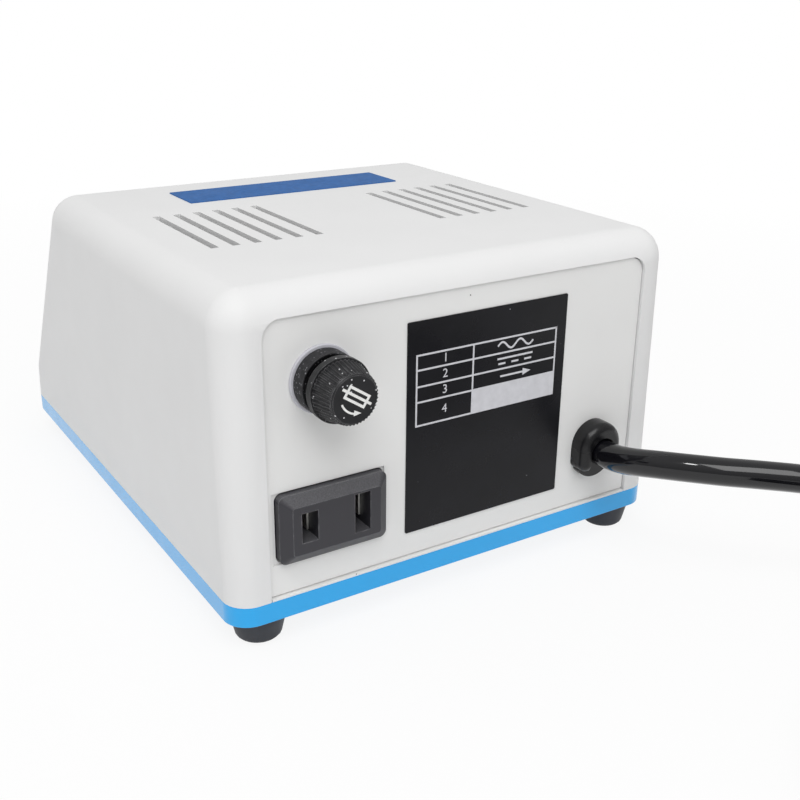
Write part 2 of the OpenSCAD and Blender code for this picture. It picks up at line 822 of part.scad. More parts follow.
module fuse_cap() {
    neck_h = 2;
    ring_h = 1.7;
    end_h = 0.5;
    knurl_h = cap_h - neck_h - ring_h - end_h;
    knurl_d = cap_ring_d - 0.8;
    knurl_top_d = cap_end_d + 0.5;
    teeth = 44;
    tooth = 0.35;
    sleeve_d = fuse_bore_d - 2 * free_gap;
    sleeve_end = fuse_end_z + fuse_l - fuse_cup_l + 0.5;
    color(black_plastic) on_rear(fuse_u, fuse_mid_h) difference() {
        union() {
            translate([0, 0, sleeve_end]) cylinder(d = sleeve_d, h = cap_seat - sleeve_end + cut);
            translate([0, 0, cap_seat]) {
                cylinder(d = cap_ring_d - 2.6, h = neck_h + cut / 2);
                translate([0, 0, neck_h]) cylinder(d = cap_ring_d, h = ring_h);
                translate([0, 0, neck_h + ring_h]) linear_extrude(knurl_h, scale = knurl_top_d / knurl_d)
                    polygon([for (i = [0 : 2 * teeth - 1])
                        let (a = 180 * i / teeth, r = knurl_d / 2 - tooth * (i % 2)) r * [cos(a), sin(a)]]);
                translate([0, 0, cap_h - end_h])
                    cylinder(d1 = knurl_top_d - 2 * tooth, d2 = cap_end_d - 2 * tooth, h = end_h);
            }
        }
        translate([0, 0, sleeve_end - cut])
            cylinder(d = fuse_d + 2 * run_fit, h = fuse_cup_l - 0.5 + cut + 0.2);
    }
}

// Mains outlet

module outlet_body() {
    rim_h = outlet_out - 1.8;
    face_w = outlet_w - 2 * outlet_bevel;
    face_h = outlet_h - 2 * outlet_bevel;
    back_w = outlet_w - 1;
    color(black_plastic) on_rear(outlet_u, outlet_mid_h) difference() {
        union() {
            hull() {
                translate([0, 0, rim_h - 0.2])
                    rounded_block(outlet_w, outlet_h, 0.2, outlet_r, $fn = hull_fn);
                translate([0, 0, outlet_out - 0.2])
                    rounded_block(face_w, face_h, 0.2, 0.6, $fn = hull_fn);
            }
            translate([0, 0, -panel_depth - 2]) {
                rounded_block(outlet_w, outlet_h, panel_depth + 2 + rim_h, outlet_r);
                rounded_block(outlet_w + 2 * outlet_flange, outlet_h + 2 * outlet_flange, 2, outlet_r);
            }
            translate([0, 0, -outlet_depth]) rounded_block(back_w, outlet_h - 1, outlet_depth, 1);
        }
        for (side = [-1, 1])
            translate([side * blade_pitch / 2 + slot_shift[0], slot_shift[1], outlet_out - slot_depth / 2]) {
                cube([slot_w, side < 0 ? slot_h : slot_wide_h, slot_depth + 0.02], center = true);
                translate([0, 0, -outlet_depth / 2]) cube([slot_w - 1, 5, outlet_depth], center = true);
            }
    }
}

// Two spring clips, each with a leaf on either side of its slot and a tab out of the back
module outlet_contacts() {
    leaf_t = 0.5;
    clip_w = slot_w - 0.1;
    leaf_h = 6;
    clip_end = outlet_out - slot_depth + 0.05;
    leaf_setback = 4.3;
    leaf_l = slot_depth - leaf_setback;
    tab_out = 7;
    color(brass_colour) on_rear(outlet_u, outlet_mid_h) for (side = [-1, 1])
        translate([side * blade_pitch / 2 + slot_shift[0], slot_shift[1], clip_end]) {
            translate([-clip_w / 2, -leaf_h / 2, 0]) cube([clip_w, leaf_h, leaf_t]);
            for (x = [-clip_w / 2, clip_w / 2 - leaf_t])
                translate([x, -leaf_h / 2, 0]) cube([leaf_t, leaf_h, leaf_l]);
            translate([-0.4, -2.4, -tab_out - outlet_depth - clip_end])
                cube([0.8, 4.8, tab_out + outlet_depth + clip_end + leaf_t]);
        }
}

// Strain relief

// Rounded disc, from which the head is stretched
module gland_disc(r) {
    rotate_extrude($fn = hull_fn) intersection() {
        square([r, gland_out]);
        union() {
            square([r, gland_out - gland_edge_r]);
            translate([r - gland_edge_r, gland_out - gland_edge_r]) circle(gland_edge_r);
        }
    }
}

// Round neck through the panel, a head with a domed top and a narrow lip under it
module gland_form() {
    foot_v = -gland_d / 2 + gland_step;
    rotate_extrude() {
        translate([0, -panel_depth]) square([gland_neck_d / 2, panel_depth + cut]);
        translate([0, -panel_depth - gland_back_t]) square([gland_neck_d / 2 + 1.2, gland_back_t]);
    }
    hull() {
        translate([0, gland_d / 2 - gland_flat, 0]) gland_disc(gland_flat);
        for (side = [-1, 1])
            translate([side * (gland_flat - gland_corner), foot_v + gland_corner, 0])
                gland_disc(gland_corner);
    }
    intersection() {
        translate([0, gland_flat - gland_d / 2, 0]) cylinder(r = gland_flat, h = gland_lip_t);
        translate([-gland_lip_w / 2, -gland_d, 0]) cube([gland_lip_w, gland_d, gland_d]);
    }
}

module gland_bore() {
    translate([0, 0, -cord_inside]) cylinder(d = cord_d + 2 * screw_fit, h = 2 * cord_inside);
}

// Lower part, which holds the lead between two walls and has a narrow lip under it
module strain_relief_body() {
    color(black_plastic) on_rear(gland_u, gland_mid_h) difference() {
        gland_form();
        gland_bore();
        translate([-gland_d, gland_seam, 0]) cube([2 * gland_d, gland_d, 2 * gland_d]);
        translate([-gland_flat + gland_wall, -gland_d, gland_lip_t])
            cube([2 * (gland_flat - gland_wall), 2 * gland_d, gland_out]);
    }
}

// Upper part, a domed cap on the seam
module strain_relief_cap() {
    color(black_plastic) on_rear(gland_u, gland_mid_h) difference() {
        gland_form();
        gland_bore();
        translate([0, 0, gland_lip_t]) cylinder(r = gland_flat - gland_wall, h = gland_out);
        translate([-gland_d, gland_seam - 3 * gland_d, -cut]) cube([2 * gland_d, 3 * gland_d, 2 * gland_d]);
        translate([0, 0, -gland_d]) cube([2 * gland_d, 4 * gland_d, 2 * gland_d], center = true);
    }
}

module cord_tail() {
    color(black_plastic) on_rear(gland_u, gland_mid_h)
        translate([0, 0, -cord_inside]) cylinder(d = cord_d, h = cord_inside + gland_lip_t);
}

// Free lead and what is on it

function unit(v) = v / norm(v);
function tangent(p, i) = unit(p[min(i + 1, len(p) - 1)] - p[max(i - 1, 0)]);
function ring(c, t, r, n) =
    let (s = unit(cross(t, [0, 0, 1])), u = cross(s, t))
    [for (k = [0 : n - 1]) c + r * (cos(360 * k / n) * s + sin(360 * k / n) * u)];

// Closed tube of n sides along a list of points
module tube(path, r, n) {
    m = len(path);
    points = [for (i = [0 : m - 1]) each ring(path[i], tangent(path, i), r, n)];
    sides = [for (i = [0 : m - 2], k = [0 : n - 1])
        let (a = i * n + k, b = i * n + (k + 1) % n) each [[a, b, a + n], [b, b + n, a + n]]];
    last = (m - 1) * n;
    caps = [for (k = [1 : n - 2]) each [[0, k + 1, k], [last, last + k, last + k + 1]]];
    polyhedron(points = points, faces = concat(sides, caps));
}

// The coil spirals in at a steady rate, climbs a layer in the half turn where it reverses, and spirals out
function coil_radius(t) = coil_r_min + coil_pitch * abs(t - coil_turns / 2);
function climbed(t) = min(1, max(0, (t - coil_turns / 2) / 0.5 + 0.5));
function coil_height(t) = let (s = climbed(t)) z_lower + coil_pitch * s * s * (3 - 2 * s);
function coil_point(t) =
    let (r = coil_radius(t), a = 180 - 360 * t)
    [coil_x + r * cos(a), coil_y + r * sin(a), coil_height(t)];

coil_turn_points = [for (i = [0 : coil_turns * coil_steps]) coil_point(i / coil_steps)];
coil_route = concat(
    [[coil_start_x, coil_y - cord_d, z_lower]],
    coil_turn_points,
    [[coil_x + cord_d, plug_y, z_upper], [plug_x, plug_y, z_upper]]
);
coil_least_gap = min([
    for (i = [0 : len(coil_turn_points) - 1], j = [i + coil_steps / 2 : 1 : len(coil_turn_points) - 1])
        norm(coil_turn_points[i] - coil_turn_points[j]) - cord_d
]);
echo(coil_least_gap = coil_least_gap);

module cord_lead() {
    color(black_plastic) tube(lead_route, cord_d / 2, lead_sides);
}

module cord_coil() {
    color(black_plastic) tube(coil_route, cord_d / 2, coil_sides);
}

// Strap round the turns, on the side nearest the plug
module cord_tie() {
    slack = 0.8;
    radii = [for (k = [0 : coil_turns - 0.5]) coil_radius(k + 0.5)];
    width = max(radii) - min(radii) + cord_d + 2 * slack;
    height = z_upper + cord_d / 2 + slack / 2 - tie_t;
    middle = (max(radii) + min(radii)) / 2;
    color(rubber_colour) translate([coil_x + middle, coil_y, tie_t + height / 2]) rotate([90, 0, 0])
        translate([0, 0, -tie_w / 2]) linear_extrude(tie_w) difference() {
            rounded_rect(width + 2 * tie_t, height + 2 * tie_t, 2 + tie_t);
            rounded_rect(width, height, 2);
        }
}

// Plug lying on its edge, drawn along +X from the end of the lead
module plug_body() {
    color(black_plastic) translate([plug_x, plug_y, z_upper]) rotate([90, 0, 90]) difference() {
        union() {
            hull() {
                cylinder(d = cord_d + 2, h = 1, $fn = hull_fn);
                translate([0, 0, boot_l - 1]) cylinder(d = boot_d, h = 1, $fn = hull_fn);
            }
            hull() {
                translate([0, 0, boot_l - 5]) rounded_block(boot_d, boot_d, 1, plug_r, $fn = hull_fn);
                translate([0, 0, boot_l + 4]) rounded_block(plug_t, plug_h, 1, plug_r, $fn = hull_fn);
            }
            translate([0, 0, boot_l + 4]) rounded_block(plug_t, plug_h, plug_l - 4, plug_r);
        }
        for (side = [-1, 1])
            translate([0, side * blade_pitch / 2, boot_l + plug_l])
                cube([plug_blade[2] + 0.1, plug_blade[1] + 0.1, 10], center = true);
    }
}

module plug_blades() {
    color(brass_colour) translate([plug_x, plug_y, z_upper]) rotate([90, 0, 90]) for (side = [-1, 1])
        translate([0, side * blade_pitch / 2, boot_l + plug_l - 5]) difference() {
            translate([-plug_blade[2] / 2, -plug_blade[1] / 2, 0])
                cube([plug_blade[2], plug_blade[1], plug_blade[0] + 5]);
            translate([0, 0, plug_blade[0]]) rotate([90, 0, 0])
                cylinder(d = blade_hole_d, h = 9, center = true);
        }
}

// Transformer

module at_core() {
    translate([core_x, core_y, z_core]) children();
}

module at_strap_screws() {
    for (s = [-1, 1]) translate([core_x, core_y + s * strap_screw_y, z_core]) children();
}

module transformer_core() {
    color([0.32, 0.32, 0.34]) at_core() difference() {
        translate([-core_t / 2, -core_l / 2, 0]) cube([core_t, core_l, core_h]);
        for (s = [-1, 1])
            translate([0, s * (core_mid + window_w) / 2, core_h / 2])
                cube([core_t + 2 * cut, window_w, window_h], center = true);
    }
}

module transformer_bobbin() {
    tube_x = core_t + 2 * core_fit + 2 * bobbin_t;
    tube_y = core_mid + 2 * core_fit + 2 * bobbin_t;
    color([0.90, 0.88, 0.80]) at_core() translate([0, 0, core_leg + core_fit]) difference() {
        union() {
            translate([-tube_x / 2, -tube_y / 2, 0]) cube([tube_x, tube_y, bobbin_h]);
            for (z = [0, bobbin_h - bobbin_t])
                translate([0, 0, z]) rounded_block(core_t + 2 * winding_bulge, bobbin_w, bobbin_t, 2);
        }
        translate([0, 0, bobbin_h / 2])
            cube([core_t + 2 * core_fit, core_mid + 2 * core_fit, bobbin_h + 2 * cut], center = true);
    }
}

module transformer_winding() {
    inner_x = core_t + 2 * core_fit + 2 * bobbin_t + 2 * screw_fit;
    inner_y = core_mid + 2 * core_fit + 2 * bobbin_t + 2 * screw_fit;
    height = bobbin_h - 2 * bobbin_t - 2 * screw_fit;
    color(copper_colour) at_core()
    translate([0, 0, core_leg + core_fit + bobbin_t + screw_fit]) difference() {
        rounded_block(core_t + 2 * winding_bulge - 2, bobbin_w - 1, height, 3);
        translate([0, 0, height / 2]) cube([inner_x, inner_y, height + 2 * cut], center = true);
    }
}

module transformer_frame() {
    span = core_l / 2 + core_fit;
    top = core_h + core_fit;
    foot_end = span + strap_t + strap_foot;
    color(steel_colour) difference() {
        at_core() rotate([90, 0, 90]) translate([0, 0, -strap_w / 2]) linear_extrude(strap_w) polygon([
            [-foot_end, 0], [-foot_end, strap_t], [-span - strap_t, strap_t],
            [-span - strap_t, top + strap_t],
            [span + strap_t, top + strap_t], [span + strap_t, strap_t], [foot_end, strap_t], [foot_end, 0],
            [span, 0], [span, top], [-span, top], [-span, 0]
        ]);
        at_strap_screws() cylinder(d = case_screw_d + 0.4, h = 3 * strap_t, center = true);
    }
}

module transformer_screws() {
    color(steel_colour) at_strap_screws() translate([0, 0, strap_t])
        screw(case_screw_d, strap_screw_l, screw_head_d, strap_screw_head_h);
}

// Circuit board

module at_standoffs() {
    hole_x = board_w / 2 - board_hole_inset;
    hole_y = board_l / 2 - board_hole_inset;
    for (sx = [-1, 1], sy = [-1, 1])
        translate([board_x + sx * hole_x, board_y + sy * hole_y, 0]) children();
}

module circuit_board() {
    color(board_colour) difference() {
        translate([board_x - board_w / 2, board_y - board_l / 2, z_board]) cube([board_w, board_l, board_t]);
        at_standoffs() translate([0, 0, z_board - cut]) cylinder(d = board_screw_d + 0.4, h = 4 * cut);
    }
}

module board_screws() {
    color(steel_colour) at_standoffs() translate([0, 0, z_parts])
        screw(board_screw_d, board_screw_l - board_t, 4.8, 1.6);
}

module filter_capacitors() {
    crimp = 0.5;
    first_y = parts_front + capacitor_d / 2;
    color([0.15, 0.18, 0.35]) for (i = [0, 1])
        translate([parts_right - capacitor_d / 2, first_y + i * (capacitor_d + part_gap), z_parts])
        rotate_extrude() polygon([
            [0, 0], [capacitor_d / 2, 0], [capacitor_d / 2, 2], [capacitor_d / 2 - crimp, 2.6],
            [capacitor_d / 2, 3.2], [capacitor_d / 2, capacitor_h - crimp],
            [capacitor_d / 2 - crimp, capacitor_h], [0, capacitor_h]
        ]);
}

module rectifier_bridge() {
    size = bridge_size;
    color(black_plastic) translate([parts_right - size[0] / 2, parts_rear - size[1] / 2, z_parts])
    difference() {
        translate([-size[0] / 2, -size[1] / 2, 0]) cube(size);
        translate([size[0] / 2, 0, size[2]]) rotate([0, 45, 0]) cube([3, 2 * size[1], 3], center = true);
    }
}

// Upright plate with fins towards the middle of the case
module heat_sink() {
    color([0.25, 0.26, 0.28]) translate([sink_x - sink_t, parts_front, z_parts]) {
        cube([sink_t, sink_l, sink_h]);
        for (i = [0 : fin_count - 1])
            translate([-fin_l + cut / 2, i * (sink_l - fin_t) / (fin_count - 1), 0])
                cube([fin_l, fin_t, sink_h]);
    }
}

module power_transistor() {
    body = transistor_size;
    tab = [1.3, body[1], 6.5];
    lift = 5;
    color(black_plastic) translate([sink_x, parts_front + (sink_l - body[1]) / 2, z_parts]) {
        translate([0, 0, lift]) cube(body);
        difference() {
            translate([0, 0, lift + body[2] - cut / 10]) cube(tab);
            translate([-cut, body[1] / 2, lift + body[2] + 3.5]) rotate([0, 90, 0]) cylinder(d = 3.6, h = 4);
        }
        for (i = [-1 : 1]) translate([1.9, body[1] / 2 + 2.54 * i - 0.4, 0])
            cube([0.6, 0.8, lift + cut / 10]);
    }
}

module terminal_block() {
    size = terminal_size;
    color([0.20, 0.45, 0.30]) translate([parts_left, parts_rear - size[1], z_parts]) difference() {
        cube(size);
        for (i = [0 : terminal_ways - 1]) translate([0, (i + 0.5) * terminal_pitch, 0]) {
            translate([-cut, -1.5, 1.5]) cube([5, 3, 4]);
            translate([size[0] / 2, 0, size[2] - 1.5]) cylinder(d = 3.4, h = 3);
        }
    }
}

// Speed control, drawn facing out of the slope from z = 0 at its face

module speed_pot() {
    color([0.60, 0.58, 0.52]) on_slope(knob_u, knob_v) difference() {
        union() {
            translate([0, 0, -wall - pot_h]) cylinder(d = pot_d, h = pot_h);
            translate([0, 0, -wall - cut]) cylinder(d = pot_bushing_d, h = wall + cut + pot_bushing_l);
            for (i = [-1 : 1]) translate([5 * i - 1, -pot_d / 2 - 5, -wall - 5]) cube([2, 8, 0.8]);
        }
        translate([0, 0, -wall - pot_bore_h])
            cylinder(d = shaft_d + 2 * run_fit, h = pot_h + wall + pot_bushing_l);
    }
}

module pot_nut() {
    color(steel_colour) on_slope(knob_u, knob_v) translate([0, 0, film_t])
        hex_nut(pot_nut_d, nut_t, pot_bushing_d + 2 * screw_fit);
}

module pot_shaft() {
    color(steel_colour) on_slope(knob_u, knob_v) translate([0, 0, -wall - pot_bore_h + 0.3])
        cylinder(d = shaft_d, h = wall + pot_bore_h + film_t + knob_lift + knob_h - 3.3);
}

module speed_knob() {
    top_d = knob_d - 2 * knob_taper;
    color(black_plastic) on_slope(knob_u, knob_v) translate([0, 0, film_t + knob_lift])
    rotate(knob_sweep / 2) difference() {
        rotate_extrude() polygon([
            [0, 0], [knob_d / 2, 0], [knob_d / 2, 1.5], [knob_d / 2 - 1, 2.2], [top_d / 2 + 0.6, 2.8],
            [top_d / 2, knob_h - 1], [top_d / 2 - 1, knob_h], [0, knob_h]
        ]);
        for (i = [0 : flute_count - 1]) rotate(360 * (i + 0.5) / flute_count)
            translate([top_d / 2 + flute_d / 4, 0, 4]) cylinder(d = flute_d, h = knob_h);
        translate([0, 0, -cut]) cylinder(d = pot_nut_d + 4, h = knob_recess_h + cut);
        translate([0, 0, -cut]) cylinder(d = shaft_d + 2 * screw_fit, h = knob_h - 3 + cut + screw_fit);
        pointer_bar(2 * screw_fit);
    }
}

// Bar from near the knob's middle to its rim, at its top
module pointer_bar(g) {
    bar_l = knob_d / 2 - knob_taper - 3;
    translate([-pointer_w / 2 - g, 2 - g, knob_h - pointer_t])
        cube([pointer_w + 2 * g, bar_l + 2 * g, pointer_t + cut * g]);
}

module knob_pointer() {
    color("white") on_slope(knob_u, knob_v) translate([0, 0, film_t + knob_lift]) rotate(knob_sweep / 2)
        pointer_bar(0);
}

// Power switch

module power_switch_housing() {
    body_x = rocker_w - 2 * seam_gap;
    body_y = rocker_l - 2 * seam_gap;
    color(black_plastic) on_slope(switch_u, upper_v) difference() {
        union() {
            translate([0, 0, film_t]) rounded_block(bezel_w, bezel_l, bezel_t, 1);
            translate([-body_x / 2, -body_y / 2, -switch_body_h])
                cube([body_x, body_y, switch_body_h + film_t + cut]);
        }
        translate([-pocket_w / 2, -pocket_l / 2, -pocket_h]) cube([pocket_w, pocket_l, pocket_h + 5 * cut]);
        translate([0, 0, pivot_z]) rotate([0, 90, 0])
            cylinder(d = pivot_d + 2 * run_fit, h = body_x - 0.4, center = true);
    }
}

module power_rocker() {
    w = pocket_w - 2 * rocker_fit;
    l = pocket_l / 2 - 2 * rocker_fit;
    color([0.72, 0.12, 0.10]) on_slope(switch_u, upper_v)
    translate([0, 0, pivot_z]) rotate([-rocker_tilt, 0, 0]) {
        translate([-w / 2, 0, 0]) rotate([90, 0, 90]) linear_extrude(w) polygon([
            [-l, -1.5], [-l, 3.6 + bezel_t - 2], [0, 2.4 + bezel_t - 2], [l, 3.6 + bezel_t - 2],
            [l, -1.5], [3, -4], [-3, -4]
        ]);
        rotate([0, 90, 0]) cylinder(d = pivot_d, h = pocket_w + 2 * rocker_wall - 0.8, center = true);
    }
}

module power_switch_terminals() {
    tab = [6.3, 0.8, 8];
    color(brass_colour) on_slope(switch_u, upper_v) for (v = [-5, 5])
        translate([-tab[0] / 2, v - tab[1] / 2, -switch_body_h - tab[2]]) cube(tab);
}

// Lever switches

module lever_switch(v) {
    mouth = bushing_d - 0.6;
    color([0.35, 0.45, 0.60]) on_slope(lever_u, v) difference() {
        union() {
            translate([-lever_body[0] / 2, -lever_body[1] / 2, -wall - lever_body[2]]) cube(lever_body);
            translate([0, 0, -wall - cut]) cylinder(d = bushing_d, h = wall + cut + bushing_l);
        }
        translate([0, 0, lever_pivot_z - lever_ball_d / 2 - free_gap])
            cylinder(d = lever_bore_d, h = bushing_l + cut);
        translate([0, 0, lever_pivot_z])
            cylinder(d1 = lever_bore_d, d2 = mouth, h = bushing_l - lever_pivot_z + 0.01);
        translate([0, 0, lever_pivot_z]) rotate([0, 90, 0])
            cylinder(d = lever_pin_d + 2 * run_fit, h = lever_pin_l + 4 * run_fit, center = true);
    }
}

module lever_nut(v) {
    color(steel_colour) on_slope(lever_u, v) translate([0, 0, film_t])
        hex_nut(lever_nut_d, nut_t, bushing_d + 2 * screw_fit);
}

module lever(v) {
    tip_r = lever_tip_d / 2;
    color(steel_colour) on_slope(lever_u, v) translate([0, 0, lever_pivot_z]) rotate([-lever_tilt, 0, 0]) {
        sphere(d = lever_ball_d);
        rotate([0, 90, 0]) cylinder(d = lever_pin_d, h = lever_pin_l, center = true);
        cylinder(d1 = lever_root_d, d2 = lever_tip_d, h = lever_l - tip_r);
        translate([0, 0, lever_l - tip_r]) sphere(d = lever_tip_d);
    }
}

module direction_switch() { lever_switch(upper_v); }
module direction_nut() { lever_nut(upper_v); }
module direction_lever() { lever(upper_v); }
module mode_switch() { lever_switch(lower_v); }
module mode_nut() { lever_nut(lower_v); }
module mode_lever() { lever(lower_v); }

// Handpiece socket and pilot lamp

module socket_shell() {
    color(steel_colour) on_slope(switch_u, lower_v) difference() {
        union() {
            translate([0, 0, film_t]) cylinder(d = socket_flange_d, h = socket_flange_t);
            translate([0, 0, -socket_barrel_l])
                cylinder(d = socket_barrel_d, h = socket_barrel_l + film_t + cut);
        }
        translate([0, 0, socket_floor]) cylinder(d = socket_d, h = socket_depth + cut);
        translate([0, 0, -socket_barrel_l - cut])
            cylinder(d = insert_d, h = socket_barrel_l + socket_floor + 2 * cut);
    }
}

module at_contacts() {
    for (i = [0 : contact_count - 1]) rotate(360 * (i + 0.25) / contact_count)
        translate([contact_pcd / 2, 0, 0]) children();
}

module socket_insert() {
    color(black_plastic) on_slope(switch_u, lower_v) difference() {
        translate([0, 0, -socket_barrel_l])
            cylinder(d = insert_d - 2 * screw_fit, h = socket_barrel_l + socket_floor);
        at_contacts() translate([0, 0, -socket_barrel_l - cut])
            cylinder(d = contact_d + 2 * screw_fit, h = socket_barrel_l + socket_floor + 2 * cut);
    }
}

module socket_contacts() {
    color(brass_colour) on_slope(switch_u, lower_v) at_contacts()
        translate([0, 0, -socket_barrel_l - contact_tail])
        cylinder(d = contact_d, h = socket_barrel_l + socket_floor + contact_tail);
}

module socket_nut() {
    color(steel_colour) on_slope(switch_u, lower_v) translate([0, 0, -wall - socket_nut_t])
        hex_nut(socket_nut_d, socket_nut_t, socket_barrel_d + 2 * screw_fit);
}

module pilot_lamp() {
    lens_r = lamp_d / 2;
    rim_r = lens_r + 0.8;
    color([0.20, 0.75, 0.30]) on_slope(lamp_u, lamp_v) {
        translate([0, 0, -wall - 4]) cylinder(r = lens_r, h = wall + 4 + film_t + cut / 2);
        translate([0, 0, film_t]) cylinder(r = rim_r, h = 1);
        translate([0, 0, film_t + 1]) intersection() {
            sphere(r = lens_r);
            translate([0, 0, lens_r - cut / 2]) cube([lamp_d, lamp_d, lamp_d + cut], center = true);
        }
    }
}

base_tray();
top_shell();
rear_panel();
rating_plate();
top_decal();
control_overlay();
foot_rear_left();
foot_rear_right();
foot_front_left();
foot_front_right();
case_screws();
fuse_washer();
fuse_holder_body();
fuse_holder_nut();
fuse_terminals();
fuse_link();
fuse_end_caps();
fuse_cap();
outlet_body();
outlet_contacts();
strain_relief_body();
strain_relief_cap();
cord_tail();
cord_lead();
cord_coil();
cord_tie();
plug_body();
plug_blades();
transformer_core();
transformer_bobbin();
transformer_winding();
transformer_frame();
transformer_screws();
circuit_board();
board_screws();
filter_capacitors();
rectifier_bridge();
heat_sink();
power_transistor();
terminal_block();
speed_pot();
pot_nut();
pot_shaft();
speed_knob();
knob_pointer();
power_switch_housing();
power_rocker();
power_switch_terminals();
direction_switch();
direction_nut();
direction_lever();
mode_switch();
mode_nut();
mode_lever();
socket_shell();
socket_insert();
socket_contacts();
socket_nut();
pilot_lamp();
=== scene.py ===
# %% [markdown]
# # The control box of a dental micromotor, seen from behind
#
# The box feeds a small motor in a handpiece. Its case is a light grey shell on a blue base, and the
# side that shows here holds a fuse, a mains outlet, a rating plate and the mains lead. The solids come
# from a CAD model that is already packed, so this lesson only dresses them: it rounds their edges, gives
# every piece its finish, prints the marks, lays the lead, and lights the lot like a shop photograph.
#
# The first cell loads the imported model as a fixed frame. Everything in it is in metres, with +Z up.

# %% Load the imported model
import json
import math

import bmesh
import bpy
from mathutils import Matrix, Vector

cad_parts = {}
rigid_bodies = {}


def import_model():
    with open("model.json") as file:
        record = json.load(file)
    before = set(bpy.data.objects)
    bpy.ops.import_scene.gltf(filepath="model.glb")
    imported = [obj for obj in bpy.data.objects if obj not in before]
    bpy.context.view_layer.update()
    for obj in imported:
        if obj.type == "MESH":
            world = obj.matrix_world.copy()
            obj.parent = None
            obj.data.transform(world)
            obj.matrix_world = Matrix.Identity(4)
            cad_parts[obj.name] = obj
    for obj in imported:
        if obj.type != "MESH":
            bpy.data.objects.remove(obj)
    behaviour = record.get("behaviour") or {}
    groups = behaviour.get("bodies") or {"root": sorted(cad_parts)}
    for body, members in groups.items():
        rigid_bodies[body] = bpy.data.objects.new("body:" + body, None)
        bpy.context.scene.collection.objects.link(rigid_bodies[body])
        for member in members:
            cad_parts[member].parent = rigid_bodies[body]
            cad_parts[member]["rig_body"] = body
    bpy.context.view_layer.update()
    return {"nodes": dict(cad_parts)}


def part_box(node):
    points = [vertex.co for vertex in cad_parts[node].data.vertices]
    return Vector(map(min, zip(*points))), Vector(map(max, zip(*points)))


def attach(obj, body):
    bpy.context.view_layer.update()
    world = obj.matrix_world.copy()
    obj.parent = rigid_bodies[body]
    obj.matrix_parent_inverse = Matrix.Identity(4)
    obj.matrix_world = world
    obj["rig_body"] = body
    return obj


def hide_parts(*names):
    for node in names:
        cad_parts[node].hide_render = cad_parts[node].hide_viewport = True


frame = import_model()
cad_nodes = frame["nodes"]
scene = bpy.context.scene
scene.view_settings.view_transform = "Standard"
MM = 0.001

# %% [markdown]
# ## The camera
#
# The photograph looks down on the corner beside the fuse from about a quarter of a metre. A camera could be
# aimed with a tracking constraint, but a small roll of the picture would be lost. So the three directions of
# the camera are worked out from its turn, its tip and its roll, and written straight into its matrix.

# %% Directions of the camera
CAMERA_PLACE = Vector((133.4, 247.2, 136.8)) * MM
CAMERA_TURN = math.radians(32.716)
CAMERA_TIP = math.radians(-22.0)
CAMERA_ROLL = math.radians(0.63)

forward = Vector((-math.sin(CAMERA_TURN), -math.cos(CAMERA_TURN), math.tan(CAMERA_TIP))).normalized()
level_right = forward.cross(Vector((0, 0, 1))).normalized()
level_up = level_right.cross(forward)
right = math.cos(CAMERA_ROLL) * level_right + math.sin(CAMERA_ROLL) * level_up
up = math.cos(CAMERA_ROLL) * level_up - math.sin(CAMERA_ROLL) * level_right
print("the camera looks along", [round(v, 2) for v in forward])

# %% Camera
PHOTO_WIDTH = 800
FOCAL_PIXELS = 1077.3
SENSOR_MM = 36
NEAREST = 0.01

camera_data = bpy.data.cameras.new("photo_camera")
camera_data.sensor_width = SENSOR_MM
camera_data.lens = SENSOR_MM * FOCAL_PIXELS / PHOTO_WIDTH
camera_data.clip_start = NEAREST
camera = bpy.data.objects.new("photo_camera", camera_data)
scene.collection.objects.link(camera)
facing = Matrix((right, up, -forward)).transposed().to_4x4()
camera.matrix_world = Matrix.Translation(CAMERA_PLACE) @ facing
scene.camera = camera
print("lens", round(camera_data.lens, 2), "mm")

# %% [markdown]
# ## Finishes from noise
#
# No real plastic is one flat colour. A moulded part has a faint grain from its mould, slow changes of tone,
# and patches that are a little smoother where fingers rubbed it. Photographs could be wrapped round the
# pieces, but then each would need unwrapping, and the grain would stretch. Noise that is worked out in the
# piece's own space needs neither, so small helpers build every finish from it. Sizes are given in
# millimetres, because that is how one judges a grain.

# %% Helpers for colours
def from_screen(red, green, blue):
    """A colour as a screen shows it, 0 to 255, turned into the linear values that shaders use."""
    def linear(value):
        share = value / 255
        return share / 12.92 if share <= 0.04045 else ((share + 0.055) / 1.055) ** 2.4
    return (linear(red), linear(green), linear(blue), 1)


def shaded(colour, factor):
    """The same colour, darker or lighter."""
    return tuple(min(1, channel * factor) for channel in colour[:3]) + (1,)


MIX_FIRST, MIX_SECOND, MIX_RESULT = 6, 7, 2


def blend_colours(tree, share, first, second):
    """A colour between two, each of which is a colour or an output."""
    mix = tree.nodes.new("ShaderNodeMix")
    mix.data_type = "RGBA"
    tree.links.new(share, mix.inputs["Factor"])
    for socket, colour in ((mix.inputs[MIX_FIRST], first), (mix.inputs[MIX_SECOND], second)):
        if isinstance(colour, tuple):
            socket.default_value = colour
        else:
            tree.links.new(colour, socket)
    return mix.outputs[MIX_RESULT]


print("mid grey on the screen is", round(from_screen(128, 128, 128)[0], 3), "in a shader")

# %% Helpers for noise
def start_finish(name):
    """A new material, its node tree, its shader and the piece's own coordinates."""
    finish = bpy.data.materials.new(name)
    finish.use_nodes = True
    tree = finish.node_tree
    place = tree.nodes.new("ShaderNodeTexCoord").outputs["Object"]
    return finish, tree, tree.nodes["Principled BSDF"], place


def cloud(tree, place, size_mm, detail=3):
    """Noise with blotches of about this size."""
    noise = tree.nodes.new("ShaderNodeTexNoise")
    noise.inputs["Scale"].default_value = 1 / (size_mm * MM)
    noise.inputs["Detail"].default_value = detail
    tree.links.new(place, noise.inputs["Vector"])
    return noise.outputs["Fac"]


